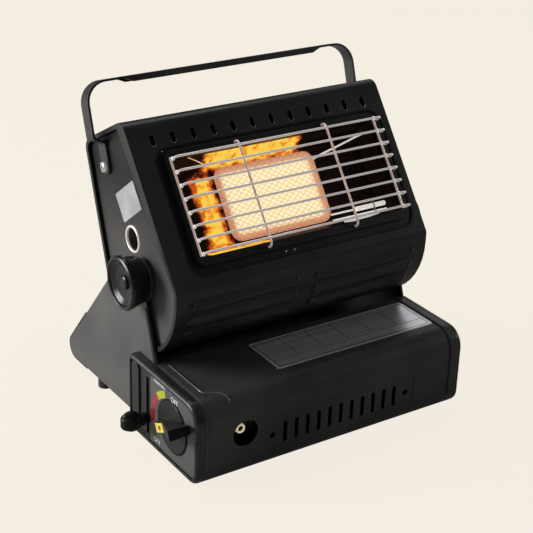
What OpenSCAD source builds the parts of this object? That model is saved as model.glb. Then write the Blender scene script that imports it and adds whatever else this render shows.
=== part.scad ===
// Portable gas radiant heater: a tilting radiant head on a cartridge base.
// Millimetres. X runs left to right, Y runs front to back, Z is up.
// The control end is on the left, so its face looks along -X.

/* [Base box] */
// Width of the base, end cap to end cap
base_w = 286; // [270:1:310]
// Depth of the cartridge box
base_d = 88; // [84:1:100]
// Height of the lid's top face above the ground
base_h = 80; // [79:0.5:84]
// Gap under the cartridge box
base_lift = 3; // [2:0.5:4]
// Radius of the box's long upper front edge
front_r = 19; // [12:1:24]
// Radius of the box's long lower front edge
toe_r = 13; // [6:1:16]
// Thickness of every sheet steel part
sheet = 1.2; // [0.8:0.1:1.6]
// Gap between neighbouring sheet parts
gap = 0.3; // [0.2:0.05:0.4]

/* [Lid] */
// Distance from the right side plate to the lid
lid_right = 5; // [4:0.5:8]
// Height of the lid's lower edge
lid_low = 17; // [16.5:0.5:22]
// Radius of the hinge barrel under the lid's rear edge
barrel_r = 2.6; // [2.4:0.1:3]
// Radius of the hinge pin
hinge_pin_r = 1.5; // [1.2:0.1:1.7]
// Width of the pressed bead at the lid's right end
bead_w = 3; // [2:0.5:4]
// Height of the pressed bead
bead_h = 1; // [0.6:0.1:1.4]
// Width of the raised step at the lid's left end
step_w = 7.2; // [5:0.1:9]
// How far that step jogs in towards the front
step_jog = 5.6; // [3:0.1:7]
// Height of the step
step_h = 0.7; // [0.4:0.1:0.9]
// Depth of the pressed panel round the air slots
panel_deep = 0.5; // [0.3:0.1:0.7]
// Number of upright air slots in the lid's front
lid_slots = 11; // [7:1:12]
// Distance between the air slots
lid_slot_pitch = 11.9; // [9:0.1:12.5]
// Height of an air slot
lid_slot_h = 20; // [12:1:24]
// Width of an air slot
lid_slot_w = 4; // [3:0.5:5]
// Diameter of the hose port in the lid's front
port_d = 25; // [20:1:27]

/* [Control end] */
// Thickness of the left end cap
cap_t = 9; // [8:0.5:12]
// Depth of the left end cap, front to back
cap_d = 121; // [115:1:126]
// Thickness of the right end cap
cap_right_t = 5; // [4:0.5:8]
// How far the end caps' edges are rounded back
cap_round = 2.8; // [2:0.1:3.5]
// Width of the end caps' raised rim
rim_w = 4.6; // [4:0.1:5.5]
// Depth of the recess inside the rim
rim_deep = 2.4; // [1.8:0.1:3]
// Distance from the front to the dial's centre
dial_y = 44; // [42:0.5:46]
// Height of the dial's centre
dial_z = 41; // [40:0.5:43]
// Diameter of the dial's disc
dial_d = 47.5; // [40:0.5:50]
// Thickness of the dial's disc
dial_t = 1.6; // [1.2:0.1:2]
// How far the grip stands out of the disc at its tall end
grip_h = 21; // [12:1:22]
// Length of the grip
grip_l = 50; // [40:1:54]
// Thickness of the grip
grip_t = 13; // [9:0.5:15]
// Angle of the grip above level, tall end to the front
grip_turn = 31; // [0:1:45]
// Radius of the valve spindle
spindle_r = 3; // [2.5:0.1:4]
// Distance from the front to the lever slot
lever_y = 89; // [87:0.5:92]
// Width of the lever slot
lever_slot_w = 4.6; // [4:0.1:6]
// Height of the slot's lower end
lever_slot_low = 11; // [10:1:14]
// Height of the slot's upper end
lever_slot_high = 68; // [60:1:69]
// Height of the lever's neck as it stands
lever_z = 28; // [24:1:34]
// How far the lever stands out of the end cap
lever_reach = 24; // [18:1:28]

/* [Stand] */
// Height of the stand's lower edge behind the box
stand_low = 12; // [10:1:16]
// Distance from the front to the stand's rear corner, before rounding
stand_back = 270; // [262:1:280]
// Slope of the stand's rear edge
stand_slope = 49.8; // [48:0.2:52]
// Radius of the stand's rear corner
stand_corner_r = 11; // [8:1:14]
// Radius of the ear round the pivot
ear_r = 20; // [18:0.5:22]
// Height of the rear panel's upper edge
rear_panel_top = 97; // [80:1:110]
// Diameter of a foot
foot_d = 14; // [10:1:16]

/* [Head] */
// Distance from the front to the tilt axis
pivot_y = 113; // [111:0.5:115]
// Height of the tilt axis
pivot_z = 151.5; // [150:0.5:156]
// Running gap between the head and each side plate of the stand
head_gap = 1.3; // [0.8:0.1:3]
// How far the head's rims stand proud of its side plates
side_recess = 3.5; // [2.5:0.5:5]
// Width of the narrow rims round the head's sides
side_rim = 4; // [3:0.5:5]
// How far the front face leans back
face_tilt = 37.3; // [36:0.1:39]
// Length of the front face, from its upper corner to its foot
face_l = 154.6; // [150:0.2:158]
// Height of the face's foot above the tilt axis
face_foot_z = 8.7; // [6:0.1:12]
// Distance from the tilt axis to the chin's front
chin_front = 58; // [56:0.5:60]
// Distance from the tilt axis down to the head's underside
chin_low = 64.5; // [63:0.5:66]
// Distance from the tilt axis to the head's rear face
back_dist = 70.8; // [68:0.2:71]
// How far the rear face leans back
back_tilt = 18.8; // [17:0.2:20]
// Radius of the head's rounded lower front
chin_r = 72; // [66:1:73]
// Radius of the head's upper front edge
brow_r = 11; // [7:1:14]
// Radius of the tilt studs
stud_r = 4; // [3:0.2:5]
// Number of vent slots above the window
vent_slots = 12; // [8:1:12]
// Distance between the vent slots
vent_pitch = 20.2; // [14:0.1:20.6]
// Length of a vent slot
vent_l = 10; // [8:0.5:12]
// Length of a louvre below the window
louvre_l = 100; // [70:1:104]

/* [Window] */
// Distance from the head's left rim to the window frame
frame_x = 26.5; // [24:0.5:32]
// Distance from the window frame to the head's right rim
frame_right = 12.5; // [10:0.5:16]
// Height of the window frame, along the face
frame_h = 104.4; // [99:0.2:106]
// Distance from the face's upper corner to the frame
frame_v = 33.3; // [31:0.1:35]
// Width of the frame's border
border = 8; // [6:0.5:10]
// How far the frame stands proud of the face
frame_proud = 2; // [1:0.5:3]
// Width of the recess left of the frame and below it
recess_w = 8; // [5:0.5:8]
// Width of the recess right of the frame
recess_right = 5; // [3:0.5:6]
// Width of the recess above the frame
recess_top = 3.5; // [2:0.5:4.5]
// Depth of the recess round the frame, below the face
recess_d = 1.5; // [1:0.1:2.5]
// How far the guard's wires stand in front of the face
guard_out = 10; // [9:0.5:14]
// Radius of the guard's wires
wire_r = 1.1; // [0.8:0.1:1.4]
// Number of level wires
wire_n = 8; // [5:1:9]
// Distance between level wires
wire_pitch = 12.3; // [10:0.1:12.4]
// Radius of the level wires' bent ends
wire_bend = 3; // [2.5:0.5:4]
// Radius of the upright wires' bent ends
stay_bend = 4.5; // [3:0.5:5]

/* [Burner] */
// Width of the burner
burner_w = 103; // [90:1:112]
// Height of the burner, along the face
burner_h = 65.5; // [60:0.5:68]
// Distance from the window's left edge to the burner
burner_x = 45; // [40:0.5:54]
// Depth of the burner's front behind the face
burner_deep = 18; // [16:0.5:20]
// Depth of the burner box
burner_box_d = 47; // [44:1:50]
// Diameter of the air inlet in the left side plate
inlet_d = 26; // [20:1:27]

/* [Handle] */
// Distance from the handle's screws to the middle of its grip
handle_h = 74; // [73:0.5:80]
// Width of the handle's strap
strap_w = 14; // [10:1:16]
// Thickness of the handle's strap
strap_t = 2; // [1.5:0.1:2.4]
// How far the handle leans back from upright
handle_lean = 18; // [5:1:25]
// Length of the handle's folded grip
handle_grip_l = 210; // [160:1:220]
// Depth of the grip's folded edges
grip_fold = 5.5; // [4:0.5:7]

/* [Tilt knobs] */
// Diameter of a tilt knob
knob_d = 49; // [40:1:50]
// Length of a tilt knob
knob_l = 20; // [15:0.5:22]

/* [Hidden] */
$fn = 48;

black = [0.09, 0.09, 0.095];
steel = [0.78, 0.78, 0.8];

// ---- where the parts stand ----
plate_x = cap_t;                       // outer face of the left side plate
plate_xr = base_w - cap_right_t;       // outer face of the right side plate
in_l = plate_x + sheet;                // inner faces of the side plates
in_r = plate_xr - sheet;
head_x = in_l + head_gap;              // left rim of the head
head_xr = in_r - head_gap;
far = 400;                             // longer than the heater, for cuts right through
side_l = head_x + side_recess;         // outer faces of the head's side plates
side_r = head_xr - side_recess;
lid_x = in_l + gap;
lid_xr = in_r - lid_right;
hinge_y = base_d - barrel_r;
hinge_z = base_h - barrel_r;
run = 0.05;                            // running clearance of pins
knob_gap = gap;
// left and right ends of everything, and front and back
x_lo = -lever_reach;
x_hi = plate_xr + knob_gap + knob_l;
y_lo = -bead_h;
y_hi = stand_back - stand_corner_r*tan((180 - stand_slope)/2) + stand_corner_r + gap + sheet;

module place() translate([-(x_lo + x_hi)/2, -(y_lo + y_hi)/2, 0]) children();

// ---- outlines: corners are [y, z, radius], listed anticlockwise ----
function unit(v) = v/norm(v);
function p2(c) = [c[0], c[1]];
function spin(v, a) = [v[0]*cos(a) - v[1]*sin(a), v[0]*sin(a) + v[1]*cos(a)];
function fillet_pts(a, b, c, r) = let(
    u = unit(a - b), v = unit(c - b), full = acos(max(-1, min(1, u*v))),
    turn = 180 - full, side = cross([b - a][0], c - b) > 0 ? 1 : -1,
    reach = r/tan(full/2), mid = b + unit(u + v)*r/sin(full/2),
    start = b + u*reach - mid, n = max(2, ceil(turn/9)))
    [for (i = [0:n]) mid + spin(start, side*turn*i/n)];
function rounded(c) = let(n = len(c)) [for (i = [0:n - 1])
    for (p = c[i][2] < 0.02 ? [p2(c[i])]
        : fillet_pts(p2(c[(i + n - 1) % n]), p2(c[i]), p2(c[(i + 1) % n]), c[i][2])) p];
function inset(c, t) = let(n = len(c)) [for (i = [0:n - 1]) let(
    a = p2(c[(i + n - 1) % n]), b = p2(c[i]), d = p2(c[(i + 1) % n]),
    e = unit(b - a), f = unit(d - b), m = [-e[1], e[0]], k = [-f[1], f[0]],
    q = b + t*(m + k)/(1 + m*k), convex = cross(e, f) > 0)
    [q[0], q[1], c[i][2] < 0.02 ? 0 : max(0.05, convex ? c[i][2] - t : c[i][2] + t)]];
// an outline in Y and Z, extruded along X from x0 to x1
module along_x(x0, x1) translate([x0, 0, 0]) rotate([90, 0, 90]) linear_extrude(x1 - x0) children();
module outline(c) polygon(rounded(c));
module ring(c, t) difference() { outline(c); outline(inset(c, t)); }
// a bar along X: centre y, z, from x0 to x1
module rod(y, z, x0, x1, r) translate([x0, y, z]) rotate([0, 90, 0]) cylinder(h = x1 - x0, r = r);
// a flat rounded rectangle, first corner at the origin
module panel(w, h, r) translate([r, r]) {
  square_plus(w - 2*r, h - 2*r, r);
}
module square_plus(w, h, r) {
  translate([-r, 0]) square([w + 2*r, h]);
  translate([0, -r]) square([w, h + 2*r]);
  for (x = [0, w], y = [0, h]) translate([x, y]) circle(r);
}

box = [[0, base_lift, toe_r], [base_d, base_lift, 4], [base_d, base_h, 0], [0, base_h, front_r]];
cap = [[0, base_lift, toe_r], [cap_d, base_lift, 12], [cap_d, base_h, 8], [0, base_h, front_r]];
cap_right = [[0, base_lift, toe_r], [base_d, base_lift, 4], [base_d, base_h, 3],
  [0, base_h, front_r]];

// ---- the head's outline, from the tilt axis ----
up = [sin(face_tilt), cos(face_tilt)];           // up along the face
out = [-cos(face_tilt), sin(face_tilt)];         // out of the face
foot = [-chin_front, face_foot_z];               // where the face meets the chin
brow = foot + face_l*up;                         // upper front corner
back_n = [cos(back_tilt), -sin(back_tilt)];
back_u = [sin(back_tilt), cos(back_tilt)];
crown = back_n*back_dist + back_u*122.1;         // upper rear corner
heel = back_n*back_dist - back_u*25.2;           // lower rear corner
function at_pivot(p) = [pivot_y + p[0], pivot_z + p[1]];
function hc(p, r) = [pivot_y + p[0], pivot_z + p[1], r];
chin_mid = [chin_r - chin_front, -0.8];          // middle of the chin's round
chin_turn = 56.7;                                // from the chin's front to its sloping foot
chin_top = [-chin_front, chin_mid[1] - chin_r*tan(chin_turn/2)];
head = [hc([chin_top[0] + (chin_low + chin_top[1])*tan(chin_turn), -chin_low], 6),
  hc([22, -chin_low], 36), hc(heel, 14), hc(crown, 12), hc(brow, brow_r), hc(foot, 8),
  hc(chin_top, chin_r)];
// the face's own frame: x along X, y up the face, z out of it, from its upper corner
module on_face(x, v, w) translate([x, at_pivot(brow)[0], at_pivot(brow)[1]])
  rotate([90 - face_tilt, 0, 0]) translate([0, -v, w]) children();

stand_rise = tan(stand_slope);
function stand_y(z) = stand_back - (z - stand_low)/stand_rise;
ear_foot = [pivot_y - ear_r*cos(61), pivot_z - ear_r*sin(61)];
stand_top = pivot_z + 2;
stand = [[0, base_lift, toe_r], [116, base_lift, 3], [116 + stand_low - base_lift, stand_low, 6],
  [stand_back, stand_low, stand_corner_r], [stand_y(stand_top), stand_top, 9],
  [pivot_y + 5, pivot_z + ear_r - 0.6, 0], [ear_foot[0], ear_foot[1], 0],
  [base_d - 4, base_h, 0], [0, base_h, front_r]];

// ---- base ----
module base_shell() color(black) difference() {
  union() {
    difference() {
      along_x(in_l + gap, in_r - gap) ring(box, sheet);
      // the lid's opening: the top, the front above its lip, and the top of the rear wall
      translate([lid_x - gap, -1, lid_low - gap])
        cube([lid_xr - lid_x + 2*gap, base_d - 2*sheet, base_h]);
      translate([lid_x - gap, base_d/2, hinge_z + gap])
        cube([lid_xr - lid_x + 2*gap, base_d, base_h]);
      for (x = knuckles_lid) translate([x - gap, base_d/2, hinge_z - barrel_r - gap])
        cube([knuckle_l + gap, base_d, base_h]);
    }
    // knuckles that hold the hinge pin
    for (x = knuckles_fixed) rod(hinge_y, hinge_z, x, x + knuckle_l - gap, barrel_r);
  }
  rod(hinge_y, hinge_z, in_l, in_r, hinge_pin_r);
}
knuckle_l = 22;
knuckles_lid = [lid_x + 14, lid_xr - 14 - knuckle_l];
knuckles_fixed = [lid_x + 14 + knuckle_l, lid_xr - 14 - 2*knuckle_l];
module hinge_pin() color(steel)
  rod(hinge_y, hinge_z, knuckles_lid[0] - 2, knuckles_lid[1] + knuckle_l + 2, hinge_pin_r);

module stand_plate(x) difference() {
  union() {
    along_x(x, x + sheet) outline(stand);
    rod(pivot_y, pivot_z, x, x + sheet, ear_r);
  }
  rod(pivot_y, pivot_z, x - 1, x + sheet + 1, stud_r + run);
}
module side_plate_left() color(black) difference() {
  stand_plate(plate_x);
  rod(dial_y, dial_z, 0, in_l + 1, spindle_r + 2);
}
module side_plate_right() color(black) stand_plate(in_r);

// the sheet that closes the stand's sloping back and turns under it
module rear_panel() color(black) {
  g = inset(stand, -gap);
  h = inset(stand, -gap - sheet);
  difference() {
    along_x(plate_x, plate_xr) difference() { outline(h); outline(g); }
    translate([0, -far, -10]) cube([base_w, far + stand_back - pan_turn, far]);
    translate([0, -10, rear_panel_top]) cube([base_w, far, far]);
  }
}
pan_turn = 48;                         // how far the rear panel turns under the stand
pan_lip = 18;                          // height of the floor pan's front lip
pan_end = stand_back - 26;             // the floor pan's rear edge
module floor_pan() color(black) along_x(in_l + gap, in_r - gap) polygon([
  [base_d + gap, stand_low + pan_lip], [base_d + gap, stand_low + gap], [pan_end, stand_low + gap],
  [pan_end, stand_low + gap + sheet], [base_d + gap + sheet, stand_low + gap + sheet],
  [base_d + gap + sheet, stand_low + pan_lip]]);

// an end cap's outer form: its edge is rounded back in four short tapers
edge = [[0, 1], [0.25, 0.54], [0.65, 0.2], [1.2, 0.03], [1.6, 0]];
module cap_form(c, x0, dir, back) {
  for (i = [0:3]) hull() for (k = [i, i + 1])
    along_x(x0 + dir*edge[k][0]*cap_round - 0.01, x0 + dir*edge[k][0]*cap_round + 0.01)
      outline(inset(c, edge[k][1]*cap_round));
  along_x(min(x0 + dir*1.6*cap_round, back), max(x0 + dir*1.6*cap_round, back)) outline(c);
}
module end_cap_left() color([0.13, 0.13, 0.135]) {
  difference() {
    cap_form(cap, 0.01, 1, cap_t - gap);
    along_x(-1, rim_deep) outline(inset(cap, rim_w));
    // hollow back
    along_x(rim_deep + 2, cap_t) outline(inset(cap, 3));
    rod(dial_y, dial_z, -1, cap_t, spindle_r + 2);
    translate([-1, lever_y - lever_slot_w/2, lever_slot_low])
      cube([cap_t, lever_slot_w, lever_slot_high - lever_slot_low]);
  }
  // the raised strip behind the lever
  translate([0, cap_d - rim_w - strip_w - 0.6, base_lift + 17])
    along_x(rim_deep - 1.6, rim_deep + 0.5) panel(strip_w, base_h - base_lift - rim_w - 18, strip_w/2 - 0.4);
}
strip_w = 13;
module end_cap_right() color([0.13, 0.13, 0.135]) difference() {
  cap_form(cap_right, base_w - 0.01, -1, plate_xr + gap);
  along_x(base_w - rim_deep + 0.6, base_w + 1) outline(inset(cap_right, rim_w));
}
panel_y0 = rim_w + 0.5;
panel_y1 = lever_y - lever_slot_w/2 - 4.5;
module dial_panel() color([0.42, 0.42, 0.43]) difference() {
  along_x(rim_deep - 0.8, rim_deep) outline([[panel_y0, base_lift + rim_w + 0.5, toe_r - rim_w],
    [panel_y1, base_lift + rim_w + 0.5, 2], [panel_y1, base_h - rim_w - 0.5, 2],
    [panel_y0, base_h - rim_w - 0.5, front_r - rim_w]]);
  rod(dial_y, dial_z, -1, cap_t, dial_d/2 + 0.8);
}
module feet() color([0.05, 0.05, 0.05])
  for (x = [in_l + 24, in_r - 24], y = [22, base_d - 14]) translate([x, y, 0])
    cylinder(h = base_lift, d = foot_d);
module rear_feet() color([0.05, 0.05, 0.05])
  for (x = [in_l + 8, in_r - 8]) translate([x, stand_back - 69, 0]) {
    cylinder(h = stand_low + gap, d = foot_d);
  }

valve_x = in_l + 4;
valve_w = 46;
port_x = 48;
port_z = 44;
nozzle_y = dial_y - 17;
nozzle_l = 16;
module valve_body() color([0.62, 0.6, 0.56]) difference() {
  union() {
    translate([valve_x, dial_y - 13, base_lift + sheet + gap]) cube([valve_w, 26, 24]);
    rod(dial_y, dial_z, valve_x, valve_x + valve_w, 14);
    translate([port_x, nozzle_y, port_z]) rotate([-90, 0, 0]) cylinder(h = 10, r = 7);
  }
  rod(dial_y, dial_z, valve_x - 1, valve_x + 16, spindle_r + run);
}
module regulator() color([0.7, 0.7, 0.72]) {
  rod(dial_y, dial_z, valve_x + valve_w, valve_x + valve_w + 8, 24);
  rod(dial_y, dial_z, valve_x + valve_w + 8, valve_x + valve_w + 12, 9);
}
module hose_nozzle() color([0.85, 0.66, 0.3]) difference() {
  union() {
    translate([port_x, nozzle_y - nozzle_l, port_z]) rotate([-90, 0, 0])
      cylinder(h = nozzle_l, d = 9.4);
    for (i = [0, 1]) translate([port_x, nozzle_y - nozzle_l + 2.6 + 3*i, port_z])
      rotate([-90, 0, 0]) cylinder(h = 1.2, d1 = 9.4, d2 = 10.4);
    translate([port_x, nozzle_y - 7, port_z]) rotate([-90, 0, 0]) cylinder(h = 6, d = 14, $fn = 6);
  }
  translate([port_x, nozzle_y - nozzle_l - 1, port_z]) rotate([-90, 0, 0]) cylinder(h = 12, d = 5);
}
guide_x = valve_x + valve_w + 12 + gap;
module cartridge_guide() color(steel) difference() {
  along_x(guide_x, guide_x + sheet) outline([[8, base_lift + sheet + gap, 8],
    [base_d - 8, base_lift + sheet + gap, 2], [base_d - 8, dial_z + 14, 4], [8, dial_z + 14, 4]]);
  rod(dial_y, dial_z, guide_x - 1, guide_x + 3, 12);
  along_x(guide_x - 1, guide_x + 3) translate([dial_y - 12, dial_z]) square([24, 40]);
}

// ---- lid ----
module lid_band(c, x0, x1, t) intersection() {
  along_x(x0, x1) ring(c, t);
  translate([x0 - 1, -10, lid_low]) cube([x1 - x0 + 2, base_d - barrel_r + 10, 100]);
}
// the raised step at the left end: it jogs in near the front and fades on the rounded edge
module lid_step() intersection() {
  lid_band(inset(box, -step_h), lid_x, lid_x + 2*step_w, sheet);
  linear_extrude(far) difference() {
    translate([lid_x, 3]) square([step_w + step_jog, base_d]);
    translate([lid_x + step_w, 16]) panel(2*step_w, base_d, 3);
  }
}
module lid() color(black) difference() {
  union() {
    lid_band(box, lid_x, lid_xr, sheet);
    lid_band(inset(box, -bead_h), lid_xr - bead_w, lid_xr, sheet);
    lid_step();
    for (x = knuckles_lid) rod(hinge_y, hinge_z, x, x + knuckle_l - gap, barrel_r);
  }
  for (x = knuckles_fixed) translate([x - gap, base_d - 2*barrel_r - gap, hinge_z - barrel_r - 1])
    cube([knuckle_l + gap, 3*barrel_r, 3*barrel_r]);
  rod(hinge_y, hinge_z, in_l, in_r, hinge_pin_r + run);
  // the pressed panel, the hose port, air slots and end holes
  translate([slots_x0 - 22.3, panel_deep, lid_low + 2.8]) rotate([90, 0, 0]) linear_extrude(5)
    panel((lid_slots - 1)*lid_slot_pitch + 45, 31.2, 6);
  translate([port_x, -2, port_z]) rotate([-90, 0, 0]) cylinder(h = 6, d = port_d);
  for (i = [0:lid_slots - 1]) translate([slots_x0 + i*lid_slot_pitch - lid_slot_w/2, -2,
      slots_z - lid_slot_h/2]) cube([lid_slot_w, 6, lid_slot_h]);
  for (x = [slots_x0 - 13, slots_x0 + (lid_slots - 1)*lid_slot_pitch + 13])
    translate([x, -2, slots_z]) rotate([-90, 0, 0]) cylinder(h = 6, d = 5.6);
}
slots_x0 = 89;
slots_z = 33;

// ---- valve knob ----
module knob_frame() translate([0, dial_y, dial_z]) rotate([-grip_turn, 0, 0]) children();
disc_x = rim_deep - gap;
module valve_knob() color([0.08, 0.08, 0.085]) difference() {
  union() {
    rod(dial_y, dial_z, disc_x - dial_t, disc_x, dial_d/2);
    knob_frame() translate([0, 0, -grip_t/2]) linear_extrude(grip_t) polygon([
      [disc_x - dial_t + 0.5, -grip_l*0.56], [disc_x - dial_t - grip_h, -grip_l*0.56],
      [disc_x - dial_t - grip_h, -grip_l*0.4], [disc_x - dial_t - 3, grip_l*0.4],
      [disc_x - dial_t + 0.5, grip_l*0.44]]);
  }
  rod(dial_y, dial_z, disc_x - dial_t, disc_x + 1, spindle_r);
}
module valve_spindle() color(steel) rod(dial_y, dial_z, disc_x - dial_t, valve_x + 15, spindle_r);

// ---- cartridge lock lever ----
module lock_lever() color([0.08, 0.08, 0.085]) {
  translate([-lever_reach + paddle_r, lever_y, lever_z]) rotate_extrude() intersection() {
    square_plus_at(2*paddle_r, paddle_h, 3);
    translate([0, -paddle_h]) square([paddle_r, 2*paddle_h]);
  }
  translate([-lever_reach + paddle_r, lever_y - 4, lever_z - 5])
    cube([lever_reach - paddle_r - 2, 8, 9]);
  translate([-3, lever_y - lever_slot_w/2 + gap, lever_z - 4.5])
    cube([rim_deep + 2 + 3 + gap, lever_slot_w - 2*gap, 9]);
}
paddle_r = 7.6;
paddle_h = 12;
module square_plus_at(w, h, r) translate([-w/2, -h/2]) panel(w, h, r);
module lever_slider() color(steel)
  translate([rim_deep + 2 + gap, lever_y - 4.5, lever_z - 8]) cube([2, 9, 16]);

// ---- head ----
// the head's outer sheet with the rims that it turns in over the sides
module head_skin() {
  along_x(head_x, head_xr) ring(head, sheet);
  for (x = [head_x, head_xr - sheet]) along_x(x, x + sheet) difference() {
    outline(head);
    intersection() {
      outline(inset(head, side_rim));
      // the side's front edge leans a little more than the face
      translate(at_pivot(foot + 4.6*up - 3.2*out)) rotate(-face_tilt - 3.8)
        translate([0, -far]) square([far, 2*far]);
    }
  }
}
module head_shell() color(black) difference() {
  union() {
    head_skin();
    for (r = [0:2], c = [0, 1]) louvre(r, c);
  }
  // the rear cover is a piece of its own
  behind(rear_seam - gap);
  // the opening that the window's tray fills
  recess(0, -12, 30);
  // vent slots
  for (i = [0:vent_slots - 1])
    on_face((head_x + head_xr)/2 + (i - (vent_slots - 1)/2)*vent_pitch, vent_v, -4)
      translate([-2, -vent_l/2 + 2, 0]) {
        cube([4, vent_l - 4, 8]);
        for (y = [0, vent_l - 4]) translate([2, y, 0]) cylinder(h = 8, r = 2);
      }
  for (r = [0:2], c = [0, 1]) louvre_slit(r, c);
}
vent_v = 21.8;                          // from the face's upper corner to the vents' middle
window_x = head_x + frame_x + border;
frame_w = head_xr - frame_right - head_x - frame_x;
window_w = frame_w - 2*border;
window_h = frame_h - 2*border;
chin = at_pivot(chin_mid);
louvre_ang = [8.2, 20.4, 32.6];
louvre_gap = 28;
function louvre_x(c) = (head_x + head_xr)/2 + (c == 0 ? -louvre_gap/2 - louvre_l : louvre_gap/2);
module louvre_frame(r) translate([0, chin[0], chin[1]]) rotate([louvre_ang[r], 0, 0])
  translate([0, -chin_r, 0]) children();
module louvre(r, c) louvre_frame(r) translate([louvre_x(c), 0, 0]) rotate([90, 0, 90])
  linear_extrude(louvre_l) polygon([[1, -0.6], [-2.6, -0.6], [-2.9, 0.4], [-2.4, 3], [-0.6, 8], [0.8, 9]]);
module louvre_slit(r, c) louvre_frame(r) translate([louvre_x(c) + 1.5, 0, 0]) rotate([90, 0, 90])
  linear_extrude(louvre_l - 3) polygon([[4, -2.2], [-5, -2.2], [-5, -0.6], [-1.6, -0.6], [-1.6, 1.6], [4, 4]]);
rear_seam = back_dist - 16;             // from the tilt axis to the rear cover's front edge
module behind(d) translate([0, pivot_y, pivot_z]) rotate([-back_tilt, 0, 0])
  translate([-1, d, -far]) cube([base_w + 2, far, 2*far]);
module head_side(x) difference() {
  along_x(x, x + sheet) outline(inset(head, sheet + gap));
  rod(pivot_y, pivot_z, x - 1, x + sheet + 1, stud_r);
}
inlet = at_pivot([23.2, 27.1]);
module head_side_left() color(black) difference() {
  head_side(side_l);
  rod(inlet[0], inlet[1], side_l - 1, side_l + sheet + 1, inlet_d/2);
}
module head_side_right() color(black) head_side(side_r - sheet);
// the rear cover: it wraps the crown and the heel, and has a row of upright air slots
module head_rear() color(black) difference() {
  intersection() {
    head_skin();
    behind(rear_seam);
  }
  translate([0, pivot_y, pivot_z]) rotate([-back_tilt, 0, 0])
    for (i = [0:rear_slots - 1]) translate([mid + (i - (rear_slots - 1)/2)*rear_pitch - 2,
        back_dist - 5, 58]) cube([4, 10, 34]);
}
rear_slots = 9;
rear_pitch = 20;

// the window's recess, shrunk by g, from depth w0 to w1
module recess(g, w0, w1) face_block(window_x - border - recess_w + g, frame_v - recess_top + g, w0,
  frame_w + recess_w + recess_right - 2*g, frame_h + recess_top + recess_w - 2*g, w1 - w0, 14 - g);
tray_w = -recess_d - sheet;              // back of the tray
module window_frame() color([0.07, 0.07, 0.07]) difference() {
  union() {
    recess(gap, tray_w, -recess_d);
    // the tray's wall rises to the shell's surface
    intersection() {
      difference() {
        recess(gap, tray_w, 20);
        recess(gap + sheet, tray_w - 1, 21);
      }
      along_x(head_x, head_xr) outline(inset(head, gap));
    }
    face_block(window_x - border, frame_v, tray_w, frame_w, frame_h, frame_proud - tray_w, 10);
  }
  face_block(window_x, frame_v + border, tray_w - 1, window_w, window_h, 20, 6);
  // the border is pressed from the back, so it is hollow
  difference() {
    face_block(window_x - border + sheet, frame_v + sheet, tray_w - 1, frame_w - 2*sheet,
      frame_h - 2*sheet, frame_proud - sheet - tray_w + 1, 10 - sheet);
    face_block(window_x - sheet, frame_v + border - sheet, tray_w - 2, window_w + 2*sheet,
      window_h + 2*sheet, 20, 6 + sheet);
  }
  for (x = [stay_x[1], stay_x[2]], v = [hook_top, hook_low]) on_face(x, v, tray_w - 1)
    cylinder(h = 12, r = wire_r + 0.1);
}

// ---- wire guard ----
bar_x0 = window_x - 0.6;
bar_l = window_w + 6.4;
bars_v = frame_v + border + 0.2;
stay_x = [bar_x0 - 2*wire_r + 0.1, bar_x0 + 65, bar_x0 + 158, bar_x0 + bar_l - 7.8];
hook_top = frame_v + border/2 - 0.8;
hook_low = frame_v + frame_h - border/2 + 0.6;
seat = frame_proud + gap;
// one level wire: straight across, both ends bent back to the frame
module bar() {
  translate([wire_bend, 0, guard_out]) rotate([0, 90, 0]) cylinder(h = bar_l - 2*wire_bend, r = wire_r);
  for (m = [0, 1]) translate([m*bar_l, 0, 0]) mirror([m, 0, 0]) {
    translate([wire_bend, 0, guard_out - wire_bend]) rotate([90, 0, 0]) rotate([0, 0, 90])
      rotate_extrude(angle = 90) translate([wire_bend, 0]) circle(wire_r);
    translate([0, 0, seat]) cylinder(h = guard_out - wire_bend - seat, r = wire_r);
  }
}
module guard_bars() color(steel)
  for (i = [0:wire_n - 1]) on_face(bar_x0, bars_v + i*wire_pitch, 0) bar();
// an upright wire behind the bars, from v0 to v1 at depth w
module stay(x, v0, v1, w) on_face(x, v1, w) rotate([-90, 0, 0]) cylinder(h = v1 - v0, r = wire_r);
stay_w = guard_out - 2*wire_r + 0.1;
module hooked_stay(x) {
  stay(x, hook_top + stay_bend, hook_low - stay_bend, stay_w);
  for (e = [0, 1]) on_face(x, e == 0 ? hook_top + stay_bend : hook_low - stay_bend, stay_w - stay_bend)
    mirror([0, e, 0]) {
      rotate([0, -90, 0]) rotate_extrude(angle = 90) translate([stay_bend, 0]) circle(wire_r);
      translate([0, stay_bend, -stay_w + stay_bend + frame_proud - 2])
        cylinder(h = stay_w - stay_bend - frame_proud + 2, r = wire_r);
    }
}
last_v = bars_v + (wire_n - 1)*wire_pitch;
module guard_stays() color(steel) {
  for (i = [1, 2]) hooked_stay(stay_x[i]);
  stay(stay_x[3], bars_v - 1.5, last_v + 1.5, stay_w);
  stay(stay_x[0], bars_v - 1.5, last_v + 1.5, seat + wire_r);
}

// ---- burner and reflector ----
// a rounded block in the face's frame, from its upper left corner
module face_block(x, v, w, dx, dv, dw, r) on_face(x, v, w) translate([0, -dv, 0])
  linear_extrude(dw) panel(dx, dv, r);
burn_x = window_x + burner_x;
burn_v = frame_v + (frame_h - burner_h)/2 + 1.2;
pan_w = tray_w - gap;                   // the pan's front edge
pan_t = 1;
pan_in = 10;                            // how far the pan's floor lies inside the window
rim_t = 1.6;
plaque_t = 12;
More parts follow.
